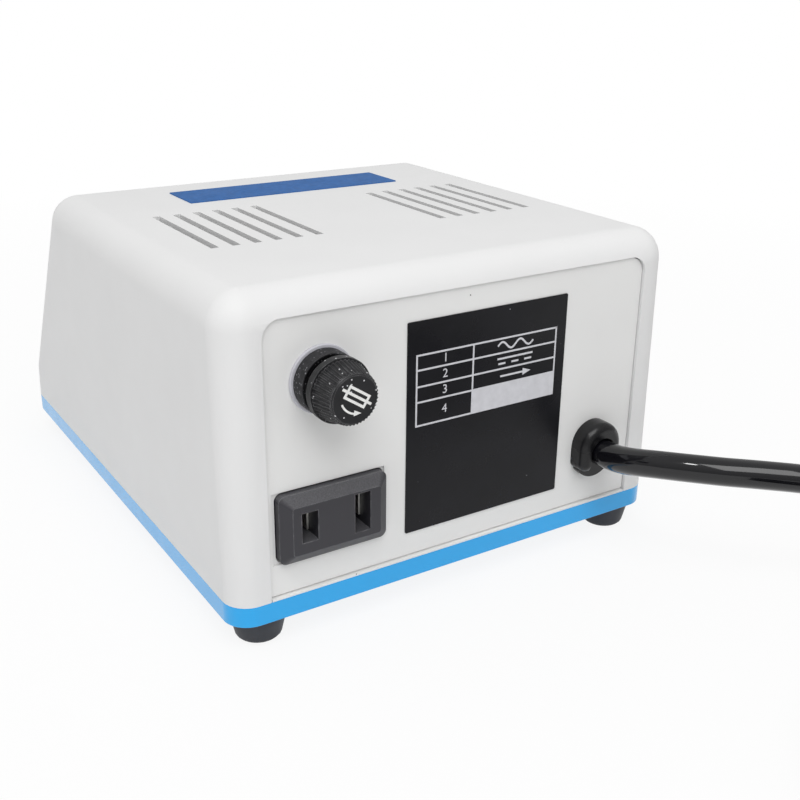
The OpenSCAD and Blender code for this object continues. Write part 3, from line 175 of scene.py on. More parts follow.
def spread(tree, source, low, high, source_low=0.3, source_high=0.7):
    """A source's usual range stretched over the values from low to high."""
    stretch = tree.nodes.new("ShaderNodeMapRange")
    stretch.inputs["From Min"].default_value = source_low
    stretch.inputs["From Max"].default_value = source_high
    stretch.inputs["To Min"].default_value = low
    stretch.inputs["To Max"].default_value = high
    tree.links.new(source, stretch.inputs["Value"])
    return stretch.outputs["Result"]


print("helpers for noise are ready")

# %% Helpers for bumps and sums
def roughen(tree, shader, height, depth_mm):
    """Small hills and dents on the surface, this deep."""
    bump = tree.nodes.new("ShaderNodeBump")
    bump.inputs["Strength"].default_value = 1
    bump.inputs["Distance"].default_value = depth_mm * MM
    tree.links.new(height, bump.inputs["Height"])
    tree.links.new(bump.outputs["Normal"], shader.inputs["Normal"])


def calculate(tree, operation, first, second):
    """One sum, product or comparison of an output with an output or a number."""
    step = tree.nodes.new("ShaderNodeMath")
    step.operation = operation
    tree.links.new(first, step.inputs[0])
    if isinstance(second, (int, float)):
        step.inputs[1].default_value = second
    else:
        tree.links.new(second, step.inputs[1])
    return step.outputs["Value"]


print("helpers for bumps and sums are ready")

# %% [markdown]
# ## Dust, worn edges and painted top light
#
# The black pieces carry pale specks of dust, and their edges are rubbed a little lighter. Dust could be
# modelled grain by grain, which is slow. Here a Voronoi pattern scatters one point in each cell of space,
# and only the neighbourhood of a few of the points takes the dust's colour. Edges are found with the
# Bevel node: near an edge, the rounded normal that it gives differs from the surface's own. Faces that look
# up are found from the height of their normal, and they can be painted paler, as light from above makes them.

# %% Helpers for dust, wear and painted top light
# Pale colour of the dust specks, and also of the painted light on faces that look up.
DUST_AND_TOP_LIGHT = from_screen(205, 205, 208)
DARK_SPECK = from_screen(92, 90, 88)
RUBBED = from_screen(168, 168, 170)
BENT, FLAT = 0.88, 0.995
STEEP, LEVEL = 0.2, 0.6


def specks(tree, place, spacing_mm, radius, share):
    """1 on dots about this far apart, with a radius in shares of that. Only a share of them is kept."""
    cells = tree.nodes.new("ShaderNodeTexVoronoi")
    cells.inputs["Scale"].default_value = 1 / (spacing_mm * MM)
    tree.links.new(place, cells.inputs["Vector"])
    near = calculate(tree, "LESS_THAN", cells.outputs["Distance"], radius)
    split = tree.nodes.new("ShaderNodeSeparateColor")
    tree.links.new(cells.outputs["Color"], split.inputs["Color"])
    kept = calculate(tree, "LESS_THAN", split.outputs["Red"], share)
    return calculate(tree, "MULTIPLY", near, kept)


def edges(tree, width_mm):
    """1 along edges and 0 on flats."""
    rounding = tree.nodes.new("ShaderNodeBevel")
    rounding.samples = 4
    rounding.inputs["Radius"].default_value = width_mm * MM
    flat = tree.nodes.new("ShaderNodeNewGeometry")
    likeness = tree.nodes.new("ShaderNodeVectorMath")
    likeness.operation = "DOT_PRODUCT"
    tree.links.new(rounding.outputs["Normal"], likeness.inputs[0])
    tree.links.new(flat.outputs["Normal"], likeness.inputs[1])
    return spread(tree, likeness.outputs["Value"], 1, 0, BENT, FLAT)


def facing_up(tree):
    """1 on faces that look up, which get painted light from above, and 0 on upright ones."""
    way = tree.nodes.new("ShaderNodeSeparateXYZ")
    tree.links.new(tree.nodes.new("ShaderNodeNewGeometry").outputs["Normal"], way.inputs["Vector"])
    return spread(tree, way.outputs["Z"], 0, 1, STEEP, LEVEL)


print("helpers for dust and wear are ready")

# %% [markdown]
# ## Moulded plastic
#
# Nearly everything here is moulded: the shell, the base, the outlet, the fuse holder, the lead's sheath. They
# differ in colour, gloss and grain, so one function makes them all. Two clouds of noise change the tone and
# the gloss, a fine one gives the grain of the mould, and dust, worn edges and painted light on faces that
# look up are added where they are asked for. The base and the lead also have a clear skin: face on it hardly
# shows, but at flat angles it reflects the white surroundings and pales. What is the same all over is set on
# the shader itself.

# %% Helper for moulded plastic
WEAR_PATCH_MM = 1.5
TOP_LIGHT_GRAIN_MM = 0.3
POLISH_MM = 6
GRAIN_DETAIL = 2


def moulded(name, colour, gloss, grain=(0.3, 0.004), blotch=(0.03, 18), dust=None, dust_colour=DUST_AND_TOP_LIGHT,
            wear=None, shine=0.5, top_light_and_dust=0, skin=None):
    """A plastic finish, with sizes in millimetres.

    gloss: roughness of the smoothest and of the dullest patches. grain: width and depth. blotch: strength
    and width. dust: spacing, radius and share of the specks. wear: strength and width along the edges.
    top_light_and_dust: strength of the painted light on faces that look up, which has a grain like
    fine dust. skin: strength and roughness of a clear gloss.
    """
    finish, tree, shader, place = start_finish(name)
    shader.inputs["Specular IOR Level"].default_value = shine
    if skin:
        shader.inputs["Coat Weight"].default_value, shader.inputs["Coat Roughness"].default_value = skin
    strength, blotch_mm = blotch
    tone = spread(tree, cloud(tree, place, blotch_mm), 0, 1)
    surface = blend_colours(tree, tone, shaded(colour, 1 - strength), shaded(colour, 1 + strength))
    if wear:
        most, wear_mm = wear
        patches = spread(tree, cloud(tree, place, WEAR_PATCH_MM), 0, most)
        rubbed = calculate(tree, "MULTIPLY", edges(tree, wear_mm), patches)
        surface = blend_colours(tree, rubbed, surface, RUBBED)
    if dust:
        surface = blend_colours(tree, specks(tree, place, *dust), surface, dust_colour)
    # Painted light: faces that look up are made paler, as light from above makes them, with a grain like fine
    # dust.
    if top_light_and_dust:
        top_light_patches = spread(tree, cloud(tree, place, TOP_LIGHT_GRAIN_MM), top_light_and_dust / 2, top_light_and_dust)
        top_light_share = calculate(tree, "MULTIPLY", facing_up(tree), top_light_patches)
        surface = blend_colours(tree, top_light_share, surface, DUST_AND_TOP_LIGHT)
    tree.links.new(surface, shader.inputs["Base Color"])
    tree.links.new(spread(tree, cloud(tree, place, POLISH_MM), *gloss), shader.inputs["Roughness"])
    grain_mm, grain_depth = grain
    roughen(tree, shader, cloud(tree, place, grain_mm, GRAIN_DETAIL), grain_depth)
    return finish


print("plastics can be mixed")

# %% Plastics of the case
shell_grey = moulded("shell_grey", from_screen(228, 228, 228), gloss=(0.46, 0.58), grain=(0.35, 0.003),
                     blotch=(0.012, 30), dust=(9, 0.022, 0.25), dust_colour=DARK_SPECK, shine=0.18)
panel_grey = moulded("panel_grey", from_screen(232, 232, 231), gloss=(0.42, 0.54), grain=(0.3, 0.003),
                     blotch=(0.012, 22), dust=(7, 0.025, 0.3), dust_colour=DARK_SPECK, shine=0.25)
base_blue = moulded("base_blue", from_screen(10, 167, 237), gloss=(0.28, 0.38), grain=(0.35, 0.003),
                    blotch=(0.03, 26), shine=0.2, skin=(0.85, 0.14))
foot_rubber = moulded("foot_rubber", from_screen(45, 48, 55), gloss=(0.5, 0.66), grain=(0.25, 0.006),
                      blotch=(0.08, 5), dust=(1.6, 0.05, 0.2))
print("case:", [finish.name for finish in (shell_grey, panel_grey, base_blue, foot_rubber)])

# %% Black plastics
# The outlet's faces that look up are painted paler, as light from above makes them.
outlet_black = moulded("outlet_black", from_screen(44, 43, 49), gloss=(0.34, 0.46), grain=(0.22, 0.012),
                       blotch=(0.06, 6), dust=(1.4, 0.035, 0.12), wear=(0.5, 0.35), top_light_and_dust=0.13)
fuse_black = moulded("fuse_black", from_screen(22, 22, 25), gloss=(0.34, 0.52), grain=(0.16, 0.012),
                     blotch=(0.15, 3), dust=(0.9, 0.2, 0.28), wear=(0.6, 0.2), shine=0.4)
flange_black = moulded("flange_black", from_screen(30, 30, 33), gloss=(0.5, 0.7), grain=(0.45, 0.05),
                       blotch=(0.6, 0.6), dust=(0.6, 0.28, 0.4), dust_colour=from_screen(112, 112, 116),
                       wear=(0.5, 0.25), shine=0.4)
gland_black = moulded("gland_black", from_screen(11, 11, 14), gloss=(0.22, 0.34), blotch=(0.1, 5), shine=0.4)
lead_black = moulded("lead_black", from_screen(13, 13, 17), gloss=(0.12, 0.2), grain=(1.5, 0.002),
                     blotch=(0.1, 12), shine=0.1, skin=(0.9, 0.06))
plug_black = moulded("plug_black", from_screen(28, 28, 30), gloss=(0.3, 0.42), grain=(0.25, 0.006),
                     blotch=(0.08, 6), wear=(0.3, 0.3))
print("blacks:", [finish.name for finish in bpy.data.materials if "black" in finish.name])

# %% [markdown]
# ## Rounded edges
#
# A CAD solid has knife edges, and nothing that comes out of a mould has. A sharp edge also catches no light,
# so the model would look like paper. The Bevel node could fake the rounding, but the mesh would stay sharp.
# Each outer piece is therefore copied from its CAD node, its flat triangles are joined, and a Bevel modifier
# rounds what is sharper than a set angle. A face with many holes, like the shell's top with its vents, is
# first cut through the middle of each hole, because one polygon can't go round them all. Weighted normals
# then keep the large faces flat and let the rounding shade smoothly. The copy rides on the same body as the
# node, and stands for it.

# %% Helper that joins flat faces
SAME_PLACE_MM = 0.002
ON_CUT_MM = 0.001
FLAT_ANGLE = math.radians(0.6)


def join_flats(mesh, cuts):
    """Joins triangles that lie in one plane. Cuts are x places, in mm, that split faces with holes."""
    work = bmesh.new()
    work.from_mesh(mesh)
    bmesh.ops.remove_doubles(work, verts=work.verts, dist=SAME_PLACE_MM * MM)
    for x in cuts:
        everything = work.verts[:] + work.edges[:] + work.faces[:]
        cut = bmesh.ops.bisect_plane(work, geom=everything, dist=ON_CUT_MM * MM, plane_co=(x * MM, 0, 0),
                                     plane_no=(1, 0, 0))
        for part in cut["geom_cut"]:
            if isinstance(part, bmesh.types.BMEdge):
                part.seam = True
    bmesh.ops.dissolve_limit(work, angle_limit=FLAT_ANGLE, verts=work.verts, edges=work.edges,
                             delimit={"SEAM"})
    for face in work.faces:
        face.smooth = True
    work.to_mesh(mesh)
    work.free()
    if "custom_normal" in mesh.attributes:
        mesh.attributes.remove(mesh.attributes["custom_normal"])


print("flat faces join within", round(math.degrees(FLAT_ANGLE), 1), "degrees")

# %% Helper that rounds a CAD node's edges
def rounded_copy(node, finish, round_mm, steps=2, sharper_than=32, cuts=()):
    """A copy of a CAD node with rounded edges, which takes the node's place."""
    piece = bpy.data.objects.new("soft_" + node, cad_nodes[node].data.copy())
    scene.collection.objects.link(piece)
    join_flats(piece.data, cuts)
    piece.data.materials.clear()
    piece.data.materials.append(finish)
    rounding = piece.modifiers.new("rounded edges", "BEVEL")
    rounding.width = round_mm * MM
    rounding.segments = steps
    rounding.limit_method = "ANGLE"
    rounding.angle_limit = math.radians(sharper_than)
    rounding.miter_outer = "MITER_ARC"
    piece.modifiers.new("even shading", "WEIGHTED_NORMAL").keep_sharp = True
    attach(piece, cad_nodes[node]["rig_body"])
    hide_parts(node)
    return piece


print("pieces can be rounded")

# %% [markdown]
# ## The mains lead
#
# A round black lead leaves the strain relief, sweeps out of the picture and goes down to the table. What
# the photograph doesn't show is wound into a coil with a tie round it, as for storage. The lead could be a
# mesh tube, but a curve with a round bevel is easier to read and keeps its thickness in bends. It runs
# through the CAD route's points: first one by one to the coil, then by a formula, a spiral that runs in,
# climbs a layer and runs out again. A Catmull-Rom pass puts more points between those, so that the bends are
# smooth.

# %% Sizes of the lead and its coil
LEAD_D = 6.7
TABLE_GAP = 1
COIL_TURNS = 5.25
COIL_STEPS = 24
COIL_R_MIN = 28
COIL_PITCH = LEAD_D + 0.6
COIL_CLIMB = 0.5
COIL_START_X = -91
COIL_Y = 197
PLUG_RUN = 32
COIL_R_MAX = COIL_R_MIN + COIL_PITCH * COIL_TURNS / 2
COIL_X = COIL_START_X + COIL_R_MAX
LOWER_Z = TABLE_GAP + LEAD_D / 2
UPPER_Z = LOWER_Z + COIL_PITCH
print("the coil is", round(2 * COIL_R_MAX + LEAD_D), "mm wide")

# %% Route of the lead
lead_points = [
    (-37.9, 69.75, 26.7), (-37.9, 72.25, 26.7), (-38.3, 77.4, 26.9), (-39.5, 82.3, 27.7),
    (-41.3, 87.1, 28.6), (-43.7, 91.6, 29.2), (-46.6, 95.9, 29.6), (-49.9, 99.9, 29.8),
    (-53.5, 103.5, 29.9), (-57.4, 106.9, 29.8), (-61.4, 110.2, 29.6), (-65.5, 113.3, 29.1),
    (-69.4, 116.5, 28.1), (-73.1, 119.8, 26.7), (-76.5, 123.2, 24.8), (-79.5, 126.8, 22.6),
    (-82.1, 130.5, 20.1), (-84.3, 134.3, 17.5), (-86.2, 138.3, 14.8), (-87.7, 142.6, 12.3),
    (-88.9, 147, 9.9), (-89.8, 151.7, 8), (-90.4, 156.6, 6.4), (-90.8, 161.6, 5.3), (-90.9, 166.7, 4.6),
    (COIL_START_X, 171.9, LOWER_Z), (COIL_START_X, 177, LOWER_Z), (COIL_START_X, 182.2, LOWER_Z),
    (COIL_START_X, COIL_Y - LEAD_D, LOWER_Z),
]


def coil_point(turn):
    """A place on the coil after this many turns: in, up a layer halfway, and out again."""
    radius = COIL_R_MIN + COIL_PITCH * abs(turn - COIL_TURNS / 2)
    climb = min(1, max(0, (turn - COIL_TURNS / 2) / COIL_CLIMB + 0.5))
    height = LOWER_Z + COIL_PITCH * climb * climb * (3 - 2 * climb)
    angle = math.pi - 2 * math.pi * turn
    return (COIL_X + radius * math.cos(angle), COIL_Y + radius * math.sin(angle), height)


lead_points += [coil_point(step / COIL_STEPS) for step in range(int(COIL_TURNS * COIL_STEPS) + 1)]
lead_points += [(COIL_X + LEAD_D, COIL_Y + COIL_R_MAX, UPPER_Z)]
lead_points += [(COIL_X + PLUG_RUN, COIL_Y + COIL_R_MAX, UPPER_Z)]
print(len(lead_points), "points on the lead's route")

# %% Helper for smooth lines
FINER = 4


def smooth_through(points):
    """Catmull-Rom: a smooth line through all the points, with more points between them."""
    corners = [Vector(p) for p in points]
    corners = [2 * corners[0] - corners[1]] + corners + [2 * corners[-1] - corners[-2]]
    line = []
    for a, b, c, d in zip(corners, corners[1:], corners[2:], corners[3:]):
        for step in range(FINER):
            t = step / FINER
            line.append(0.5 * (2 * b + (c - a) * t + (2 * a - 5 * b + 4 * c - d) * t * t
                               + (3 * b - a - 3 * c + d) * t ** 3))
    return line + [corners[-2]]


lead_line = [point * MM for point in smooth_through(lead_points)]

# %% Curve of the lead
lead_curve = bpy.data.curves.new("mains_lead", "CURVE")
lead_curve.dimensions = "3D"
lead_curve.bevel_depth = LEAD_D / 2 * MM
lead_curve.bevel_resolution = 7
lead_curve.use_fill_caps = True
track = lead_curve.splines.new("POLY")
track.points.add(len(lead_line) - 1)
for spot, point in zip(track.points, lead_line):
    spot.co = (*point, 1)
track.use_smooth = True
mains_lead = bpy.data.objects.new("mains_lead", lead_curve)
scene.collection.objects.link(mains_lead)
lead_curve.materials.append(lead_black)
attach(mains_lead, "case")
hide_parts("cord_lead", "cord_coil")
print("curve with", len(track.points), "points")

# %% [markdown]
# ## Felt and metal
#
# The strap round the coil is felt, and the plug's blades, the levers and the screws are metal. A strongly
# stretched noise could draw single fibres, but a fine plain noise with much bump looks more like felt.
# Plated metal is never an even mirror: patches change its tone, and fine streaks its gloss.

# %% Felt
FIBRE_MM, FIBRE_DETAIL, FIBRE_DEPTH = 0.25, 4, 0.12
FIBRE_DARK, FIBRE_PALE = 0.6, 1.4
FELT_DULL, FELT_SHEEN = (0.8, 0.95), 0.3


def felt(name, colour):
    """Short fibres: fine grain, dull, with a soft sheen."""
    finish, tree, shader, place = start_finish(name)
    fibre = cloud(tree, place, FIBRE_MM, FIBRE_DETAIL)
    shade = spread(tree, fibre, 0, 1)
    surface = blend_colours(tree, shade, shaded(colour, FIBRE_DARK), shaded(colour, FIBRE_PALE))
    tree.links.new(surface, shader.inputs["Base Color"])
    tree.links.new(spread(tree, fibre, *FELT_DULL), shader.inputs["Roughness"])
    shader.inputs["Sheen Weight"].default_value = FELT_SHEEN
    roughen(tree, shader, fibre, FIBRE_DEPTH)
    return finish


strap_felt = felt("strap_felt", from_screen(46, 47, 50))
print("felt:", strap_felt.name)

# %% Metals
PATCH_MM, PATCH_DARK, PATCH_PALE = 4, 0.86, 1.05
STREAK_DETAIL, STREAK_DEPTH = 5, 0.004


def metal(name, colour, gloss, brushed_mm=1.2):
    """A plated or drawn metal with faint streaks and patches."""
    finish, tree, shader, place = start_finish(name)
    shader.inputs["Metallic"].default_value = 1
    patch = spread(tree, cloud(tree, place, PATCH_MM), 0, 1)
    surface = blend_colours(tree, patch, shaded(colour, PATCH_DARK), shaded(colour, PATCH_PALE))
    tree.links.new(surface, shader.inputs["Base Color"])
    streak = cloud(tree, place, brushed_mm, STREAK_DETAIL)
    tree.links.new(spread(tree, streak, *gloss), shader.inputs["Roughness"])
    roughen(tree, shader, streak, STREAK_DEPTH)
    return finish


STEEL = from_screen(196, 197, 200)
nickel = metal("nickel", from_screen(205, 203, 198), gloss=(0.2, 0.36))
# Painted glint: the outlet's contacts get a nickel painted brighter than the plain nickel, in place of the
# glint that light puts on them.
nickel_painted_glint = metal("nickel_painted_glint", from_screen(238, 237, 232), gloss=(0.36, 0.5))
steel = metal("steel", STEEL, gloss=(0.22, 0.38), brushed_mm=0.8)
lever_steel = metal("lever_steel", from_screen(212, 212, 214), gloss=(0.12, 0.24), brushed_mm=0.6)
print("metals:", [finish.name for finish in (nickel, nickel_painted_glint, steel, lever_steel)])

# %% [markdown]
# ## Plug and tie
#
# The lead ends in a moulded plug with two blades, and a hook-and-loop strap keeps the coil together. Both are
# CAD nodes, so they only need their edges rounded.

# %% Plug and tie
plug = rounded_copy("plug_body", plug_black, round_mm=0.6, steps=3)
plug_blades = rounded_copy("plug_blades", nickel, round_mm=0.2)
strap = rounded_copy("cord_tie", strap_felt, round_mm=0.2)
print("plug, blades and strap are on the lead")

# %% [markdown]
# ## Case
#
# Shell, panel and base are thick moulded plastic. The shell's large rounding is already in the CAD hull as
# narrow strips, so only smooth shading is needed there, and the bevel takes care of the vents, the seam
# and the opening for the panel. The panel lies a little behind the shell's face, with a hair's breadth of
# gap, which gives the thin dark line round it.

# %% Shell, panel, base and feet
VENT_FIRST, VENT_PITCH, VENTS = 17.2, 5.2, 6
vent_lines = [side * (VENT_FIRST + VENT_PITCH * i) for side in (-1, 1) for i in range(VENTS)]
rounded_copy("top_shell", shell_grey, round_mm=0.22, cuts=vent_lines)
rounded_copy("rear_panel", panel_grey, round_mm=0.2)
rounded_copy("base_tray", base_blue, round_mm=0.3)
for corner in ("rear_left", "rear_right", "front_left", "front_right"):
    rounded_copy("foot_" + corner, foot_rubber, round_mm=0.35)

# %% [markdown]
# ## Fuse holder, outlet and strain relief
#
# These stand out of the panel. The fuse holder is phenolic: black, dull, dusty in the knurl. The outlet is a
# harder, smoother plastic with a grained bevel, whose faces that look up are painted paler, as light from
# above makes them, and its spring contacts show in the slots, in a nickel painted brighter than plain
# nickel as a painted glint. The strain relief is nylon, and a little glossy. The pale washer under the fuse
# holder is nylon too. The cap's knurl could be a bump in its finish, but it shows in the outline, so it is
# cut in the CAD and only softened here.

# %% Fuse holder, outlet and strain relief
washer_nylon = moulded("washer_nylon", from_screen(192, 192, 199), gloss=(0.4, 0.55), blotch=(0.04, 4),
                       shine=0.25)
rounded_copy("fuse_washer", washer_nylon, round_mm=0.25, steps=3)
rounded_copy("fuse_holder_body", flange_black, round_mm=0.35, steps=3)
rounded_copy("fuse_cap", fuse_black, round_mm=0.12)
rounded_copy("outlet_body", outlet_black, round_mm=0.3, steps=3, sharper_than=20)
# The contacts take the brighter nickel, a painted glint.
rounded_copy("outlet_contacts", nickel_painted_glint, round_mm=0.06)
for half in ("body", "cap"):
    rounded_copy("strain_relief_" + half, gland_black, round_mm=0.35, steps=3)

# %% [markdown]
# ## Films
#
# The rating plate is a thin black film, and the strip on top and the sheet round the controls are blue
# ones. Film is smooth and a little wavy from its glue, so its bump is broad and shallow. The black one has
# collected small pale scuffs. Films are so thin that their edges need no rounding, so the CAD nodes
# themselves get the finish.

# %% Films
SCUFF = from_screen(150, 150, 156)
WAVE_MM, WAVE_DEPTH = 7, 0.02
FILM_POLISH_MM, MOTTLE_DETAIL = 9, 6


def film(name, colour, gloss, mottle, shine, scuffs=None):
    """Printed film with gentle waves. mottle: strength and width. scuffs: spacing, radius and share."""
    finish, tree, shader, place = start_finish(name)
    shader.inputs["Specular IOR Level"].default_value = shine
    strength, mottle_mm = mottle
    tone = spread(tree, cloud(tree, place, mottle_mm, MOTTLE_DETAIL), 0, 1)
    surface = blend_colours(tree, tone, shaded(colour, 1 - strength), shaded(colour, 1 + strength))
    if scuffs:
        surface = blend_colours(tree, specks(tree, place, *scuffs), surface, SCUFF)
    tree.links.new(surface, shader.inputs["Base Color"])
    tree.links.new(spread(tree, cloud(tree, place, FILM_POLISH_MM), *gloss), shader.inputs["Roughness"])
    roughen(tree, shader, cloud(tree, place, WAVE_MM, 1), WAVE_DEPTH)
    return finish


def dress(node, finish):
    """Gives a carried-over CAD node its finish."""
    for slot in cad_nodes[node].material_slots:
        slot.material = finish


plate_black = film("plate_black", from_screen(14, 14, 19), gloss=(0.24, 0.34), mottle=(0.2, 8), shine=0.22,
                   scuffs=(2.6, 0.05, 0.2))
strip_blue = film("strip_blue", from_screen(50, 101, 164), gloss=(0.45, 0.55), mottle=(0.13, 1.4), shine=0.12)
sheet_blue = film("sheet_blue", from_screen(58, 112, 184), gloss=(0.38, 0.48), mottle=(0.04, 10), shine=0.4)
dress("rating_plate", plate_black)
dress("top_decal", strip_blue)
dress("control_overlay", sheet_blue)
print("films:", plate_black.name, strip_blue.name, sheet_blue.name)

# %% [markdown]
# ## Ink
#
# Printed marks are a few hundredths of a millimetre of ink. A texture could hold them, but thin geometry
# stays sharp in any close view. One helper turns lines into narrow quads, another lifts flat outlines
# a hair off their surface and gives them a side wall. Each outline lies a little higher than the one before,
# as wet ink would, so that no two of them share a plane where they cross.

# %% Helpers that draw lines, arcs and arrows
CLOSED_MM = 0.001
LEAST_MITRE = 0.3
HEAD_TURN = 140


def stroke(points, width):
    """Quads along a line of (across, up) points, mitred at bends, and closed if it ends at its start."""
    spine = [Vector(point) for point in points]
    ways = [(b - a).normalized() for a, b in zip(spine, spine[1:])]
    closed = (spine[0] - spine[-1]).length < CLOSED_MM
    left, right = [], []
    for i, spot in enumerate(spine):
        before = ways[i - 1] if i or closed else ways[0]
        after = ways[i % len(ways)] if i < len(ways) or closed else ways[-1]
        side = Vector((-before.y - after.y, before.x + after.x)).normalized()
        reach = width / 2 / max(LEAST_MITRE, side.dot(Vector((-after.y, after.x))))
        left.append(tuple(spot + side * reach))
        right.append(tuple(spot - side * reach))
    return [[right[i], right[i + 1], left[i + 1], left[i]] for i in range(len(ways))]


def arc(middle, radius, start, end, steps=24):
    """Points on an arc between two angles in degrees."""
    angles = [math.radians(start + (end - start) * i / steps) for i in range(steps + 1)]
    return [(middle[0] + radius * math.cos(a), middle[1] + radius * math.sin(a)) for a in angles]


def arrow_head(tip, angle, size):
    """A triangle that points along an angle in degrees."""
    turns = [math.radians(angle + turn) for turn in (0, HEAD_TURN, -HEAD_TURN)]
    return [[(tip[0] + size * math.cos(a), tip[1] + size * math.sin(a)) for a in turns]]


print("lines, arcs and arrows can be drawn")

# %% Helper for plain numbers
def numeral(text, size, middle):
    """Outlines of a plain number about a middle, in millimetres."""
    letters = bpy.data.curves.new("numeral", "FONT")
    letters.body = text
    letters.size = size
    letters.align_x = "CENTER"
    letters.align_y = "CENTER"
    holder = bpy.data.objects.new("numeral", letters)
    scene.collection.objects.link(holder)
    bpy.context.view_layer.update()
    flat = bpy.data.meshes.new_from_object(holder.evaluated_get(bpy.context.evaluated_depsgraph_get()))
    bpy.data.objects.remove(holder)
    corners = [(middle[0] + vertex.co.x, middle[1] + vertex.co.y) for vertex in flat.vertices]
    outlines = [[corners[i] for i in face.vertices] for face in flat.polygons]
    bpy.data.meshes.remove(flat)
    return outlines


print("a 4 has", len(numeral("4", 1, (0, 0))), "faces")

# %% Helper that lays ink
INK_MM = 0.03
INK_STEP, INK_LAYERS = 0.02, 7
white_ink = moulded("white_ink", from_screen(232, 232, 230), gloss=(0.45, 0.6), grain=(0.2, 0.004),
                    blotch=(0.05, 1.2))
silver_ink = moulded("silver_ink", from_screen(206, 206, 211), gloss=(0.34, 0.5), grain=(0.15, 0.004),
                     blotch=(0.06, 2))


def ink(name, outlines, origin, across, upward, finish, body):
    """Outlines in millimetres on the plane through origin, printed as thin raised ink."""
    outward = across.cross(upward)
    work = bmesh.new()
    for number, outline in enumerate(outlines):
        lift = INK_MM * (1 + INK_STEP * (number % INK_LAYERS)) * MM
        spots = [origin + (a * across + b * upward) * MM for a, b in outline]
        low = [work.verts.new(spot) for spot in spots]
        high = [work.verts.new(spot + outward * lift) for spot in spots]
        work.faces.new(high)
        for i in range(len(spots)):
            j = (i + 1) % len(spots)
            work.faces.new((low[i], low[j], high[j], high[i]))
    mesh = bpy.data.meshes.new(name)
    work.to_mesh(mesh)
    work.free()
    mesh.materials.append(finish)
    piece = bpy.data.objects.new(name, mesh)
    scene.collection.objects.link(piece)
    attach(piece, body)


print("inks:", white_ink.name, silver_ink.name)

# %% [markdown]
# ## Rating plate
#
# The plate carries a small table in silver: two columns, four rows, and one filled cell to write on. The
# rows are numbered, and the cells beside the numbers hold the signs that any such plate could have: a wave
# for alternating current, a bar over dashes for direct current, and an arrow for the motor. All places are
# measured from the plate's own upper corner.

# %% Table on the rating plate
plate_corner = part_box("rating_plate")[1]
leftward, skyward = Vector((-1, 0, 0)), Vector((0, 0, 1))
TABLE_LEFT, TABLE_RIGHT, TABLE_DIVIDER = 2.4, 40.7, 17.3
ROW_LINES = [-7.7, -11.1, -14.9, -18.5, -24.0]
LINE_W = 0.42

table = []
for height in ROW_LINES:
    table += stroke([(TABLE_LEFT, height), (TABLE_RIGHT, height)], LINE_W)
for across in (TABLE_LEFT, TABLE_DIVIDER, TABLE_RIGHT):
    table += stroke([(across, ROW_LINES[0] + LINE_W / 2), (across, ROW_LINES[-1] - LINE_W / 2)], LINE_W)
table += [[(TABLE_DIVIDER, ROW_LINES[-1]), (TABLE_RIGHT, ROW_LINES[-1]),
           (TABLE_RIGHT, ROW_LINES[-2]), (TABLE_DIVIDER, ROW_LINES[-2])]]
print("table of", len(table), "outlines")

# %% Numbers and signs in the table
NUMBER_X, SIGN_X = (TABLE_LEFT + TABLE_DIVIDER) / 2, (TABLE_DIVIDER + TABLE_RIGHT) / 2
NUMBER_SIZE, SIGN_W = 2.9, 0.45
WAVES, WAVE_HALF, WAVE_H, WAVE_STEPS = 2, 5, 0.85, 48
BAR_UP, DASHES_DOWN, DASH_PITCH, DASH_HALF = 0.55, 0.65, 3.7, 1
ARROW_BACK, ARROW_FRONT, ARROW_GAP, ARROW_SIZE = 4, 3, 0.4, 1.3

rows = [(a + b) / 2 for a, b in zip(ROW_LINES, ROW_LINES[1:])]
signs = []
for number, height in enumerate(rows, 1):
    signs += numeral(str(number), NUMBER_SIZE, (NUMBER_X, height))
wave = []
for step in range(WAVE_STEPS + 1):
    swing = math.sin(2 * math.pi * WAVES * step / WAVE_STEPS)
    wave.append((SIGN_X + WAVE_HALF * (2 * step / WAVE_STEPS - 1), rows[0] + WAVE_H * swing))
signs += stroke(wave, SIGN_W)
signs += stroke([(SIGN_X - WAVE_HALF, rows[1] + BAR_UP), (SIGN_X + WAVE_HALF, rows[1] + BAR_UP)], SIGN_W)
for dash in (-DASH_PITCH, 0, DASH_PITCH):
    dash_ends = [(SIGN_X + dash + end * DASH_HALF, rows[1] - DASHES_DOWN) for end in (-1, 1)]
    signs += stroke(dash_ends, SIGN_W)
signs += stroke([(SIGN_X - ARROW_BACK, rows[2]), (SIGN_X + ARROW_FRONT, rows[2])], SIGN_W)
signs += arrow_head((SIGN_X + ARROW_FRONT + ARROW_GAP, rows[2]), 0, ARROW_SIZE)
ink("rating_table", table + signs, plate_corner, leftward, skyward, silver_ink, "case")
print(len(rows), "rows with numbers and signs")

# %% [markdown]
# ## Mark on the fuse cap
#
# The cap's end is printed in white with what it is and how it turns: the sign for a fuse, a box with its
# wire through it, and a curved arrow under it for the way round. The print rides on the cap, so it turns
# with it.

# %% Fuse sign
SIGN_TILT = math.radians(-34)
FUSE_HALF, FUSE_LOW, FUSE_HIGH, WIRE_HALF = 2.5, -0.5, 1.9, 3.8
FUSE_LINE_W, TURN_LINE_W = 0.55, 0.42
TURN_MIDDLE, TURN_R, TURN_START, TURN_END = (0, 1.2), 3.9, 235, 292
TURN_TIP, TURN_WAY, TURN_HEAD = (1.9, -2.1), 25, 0.95

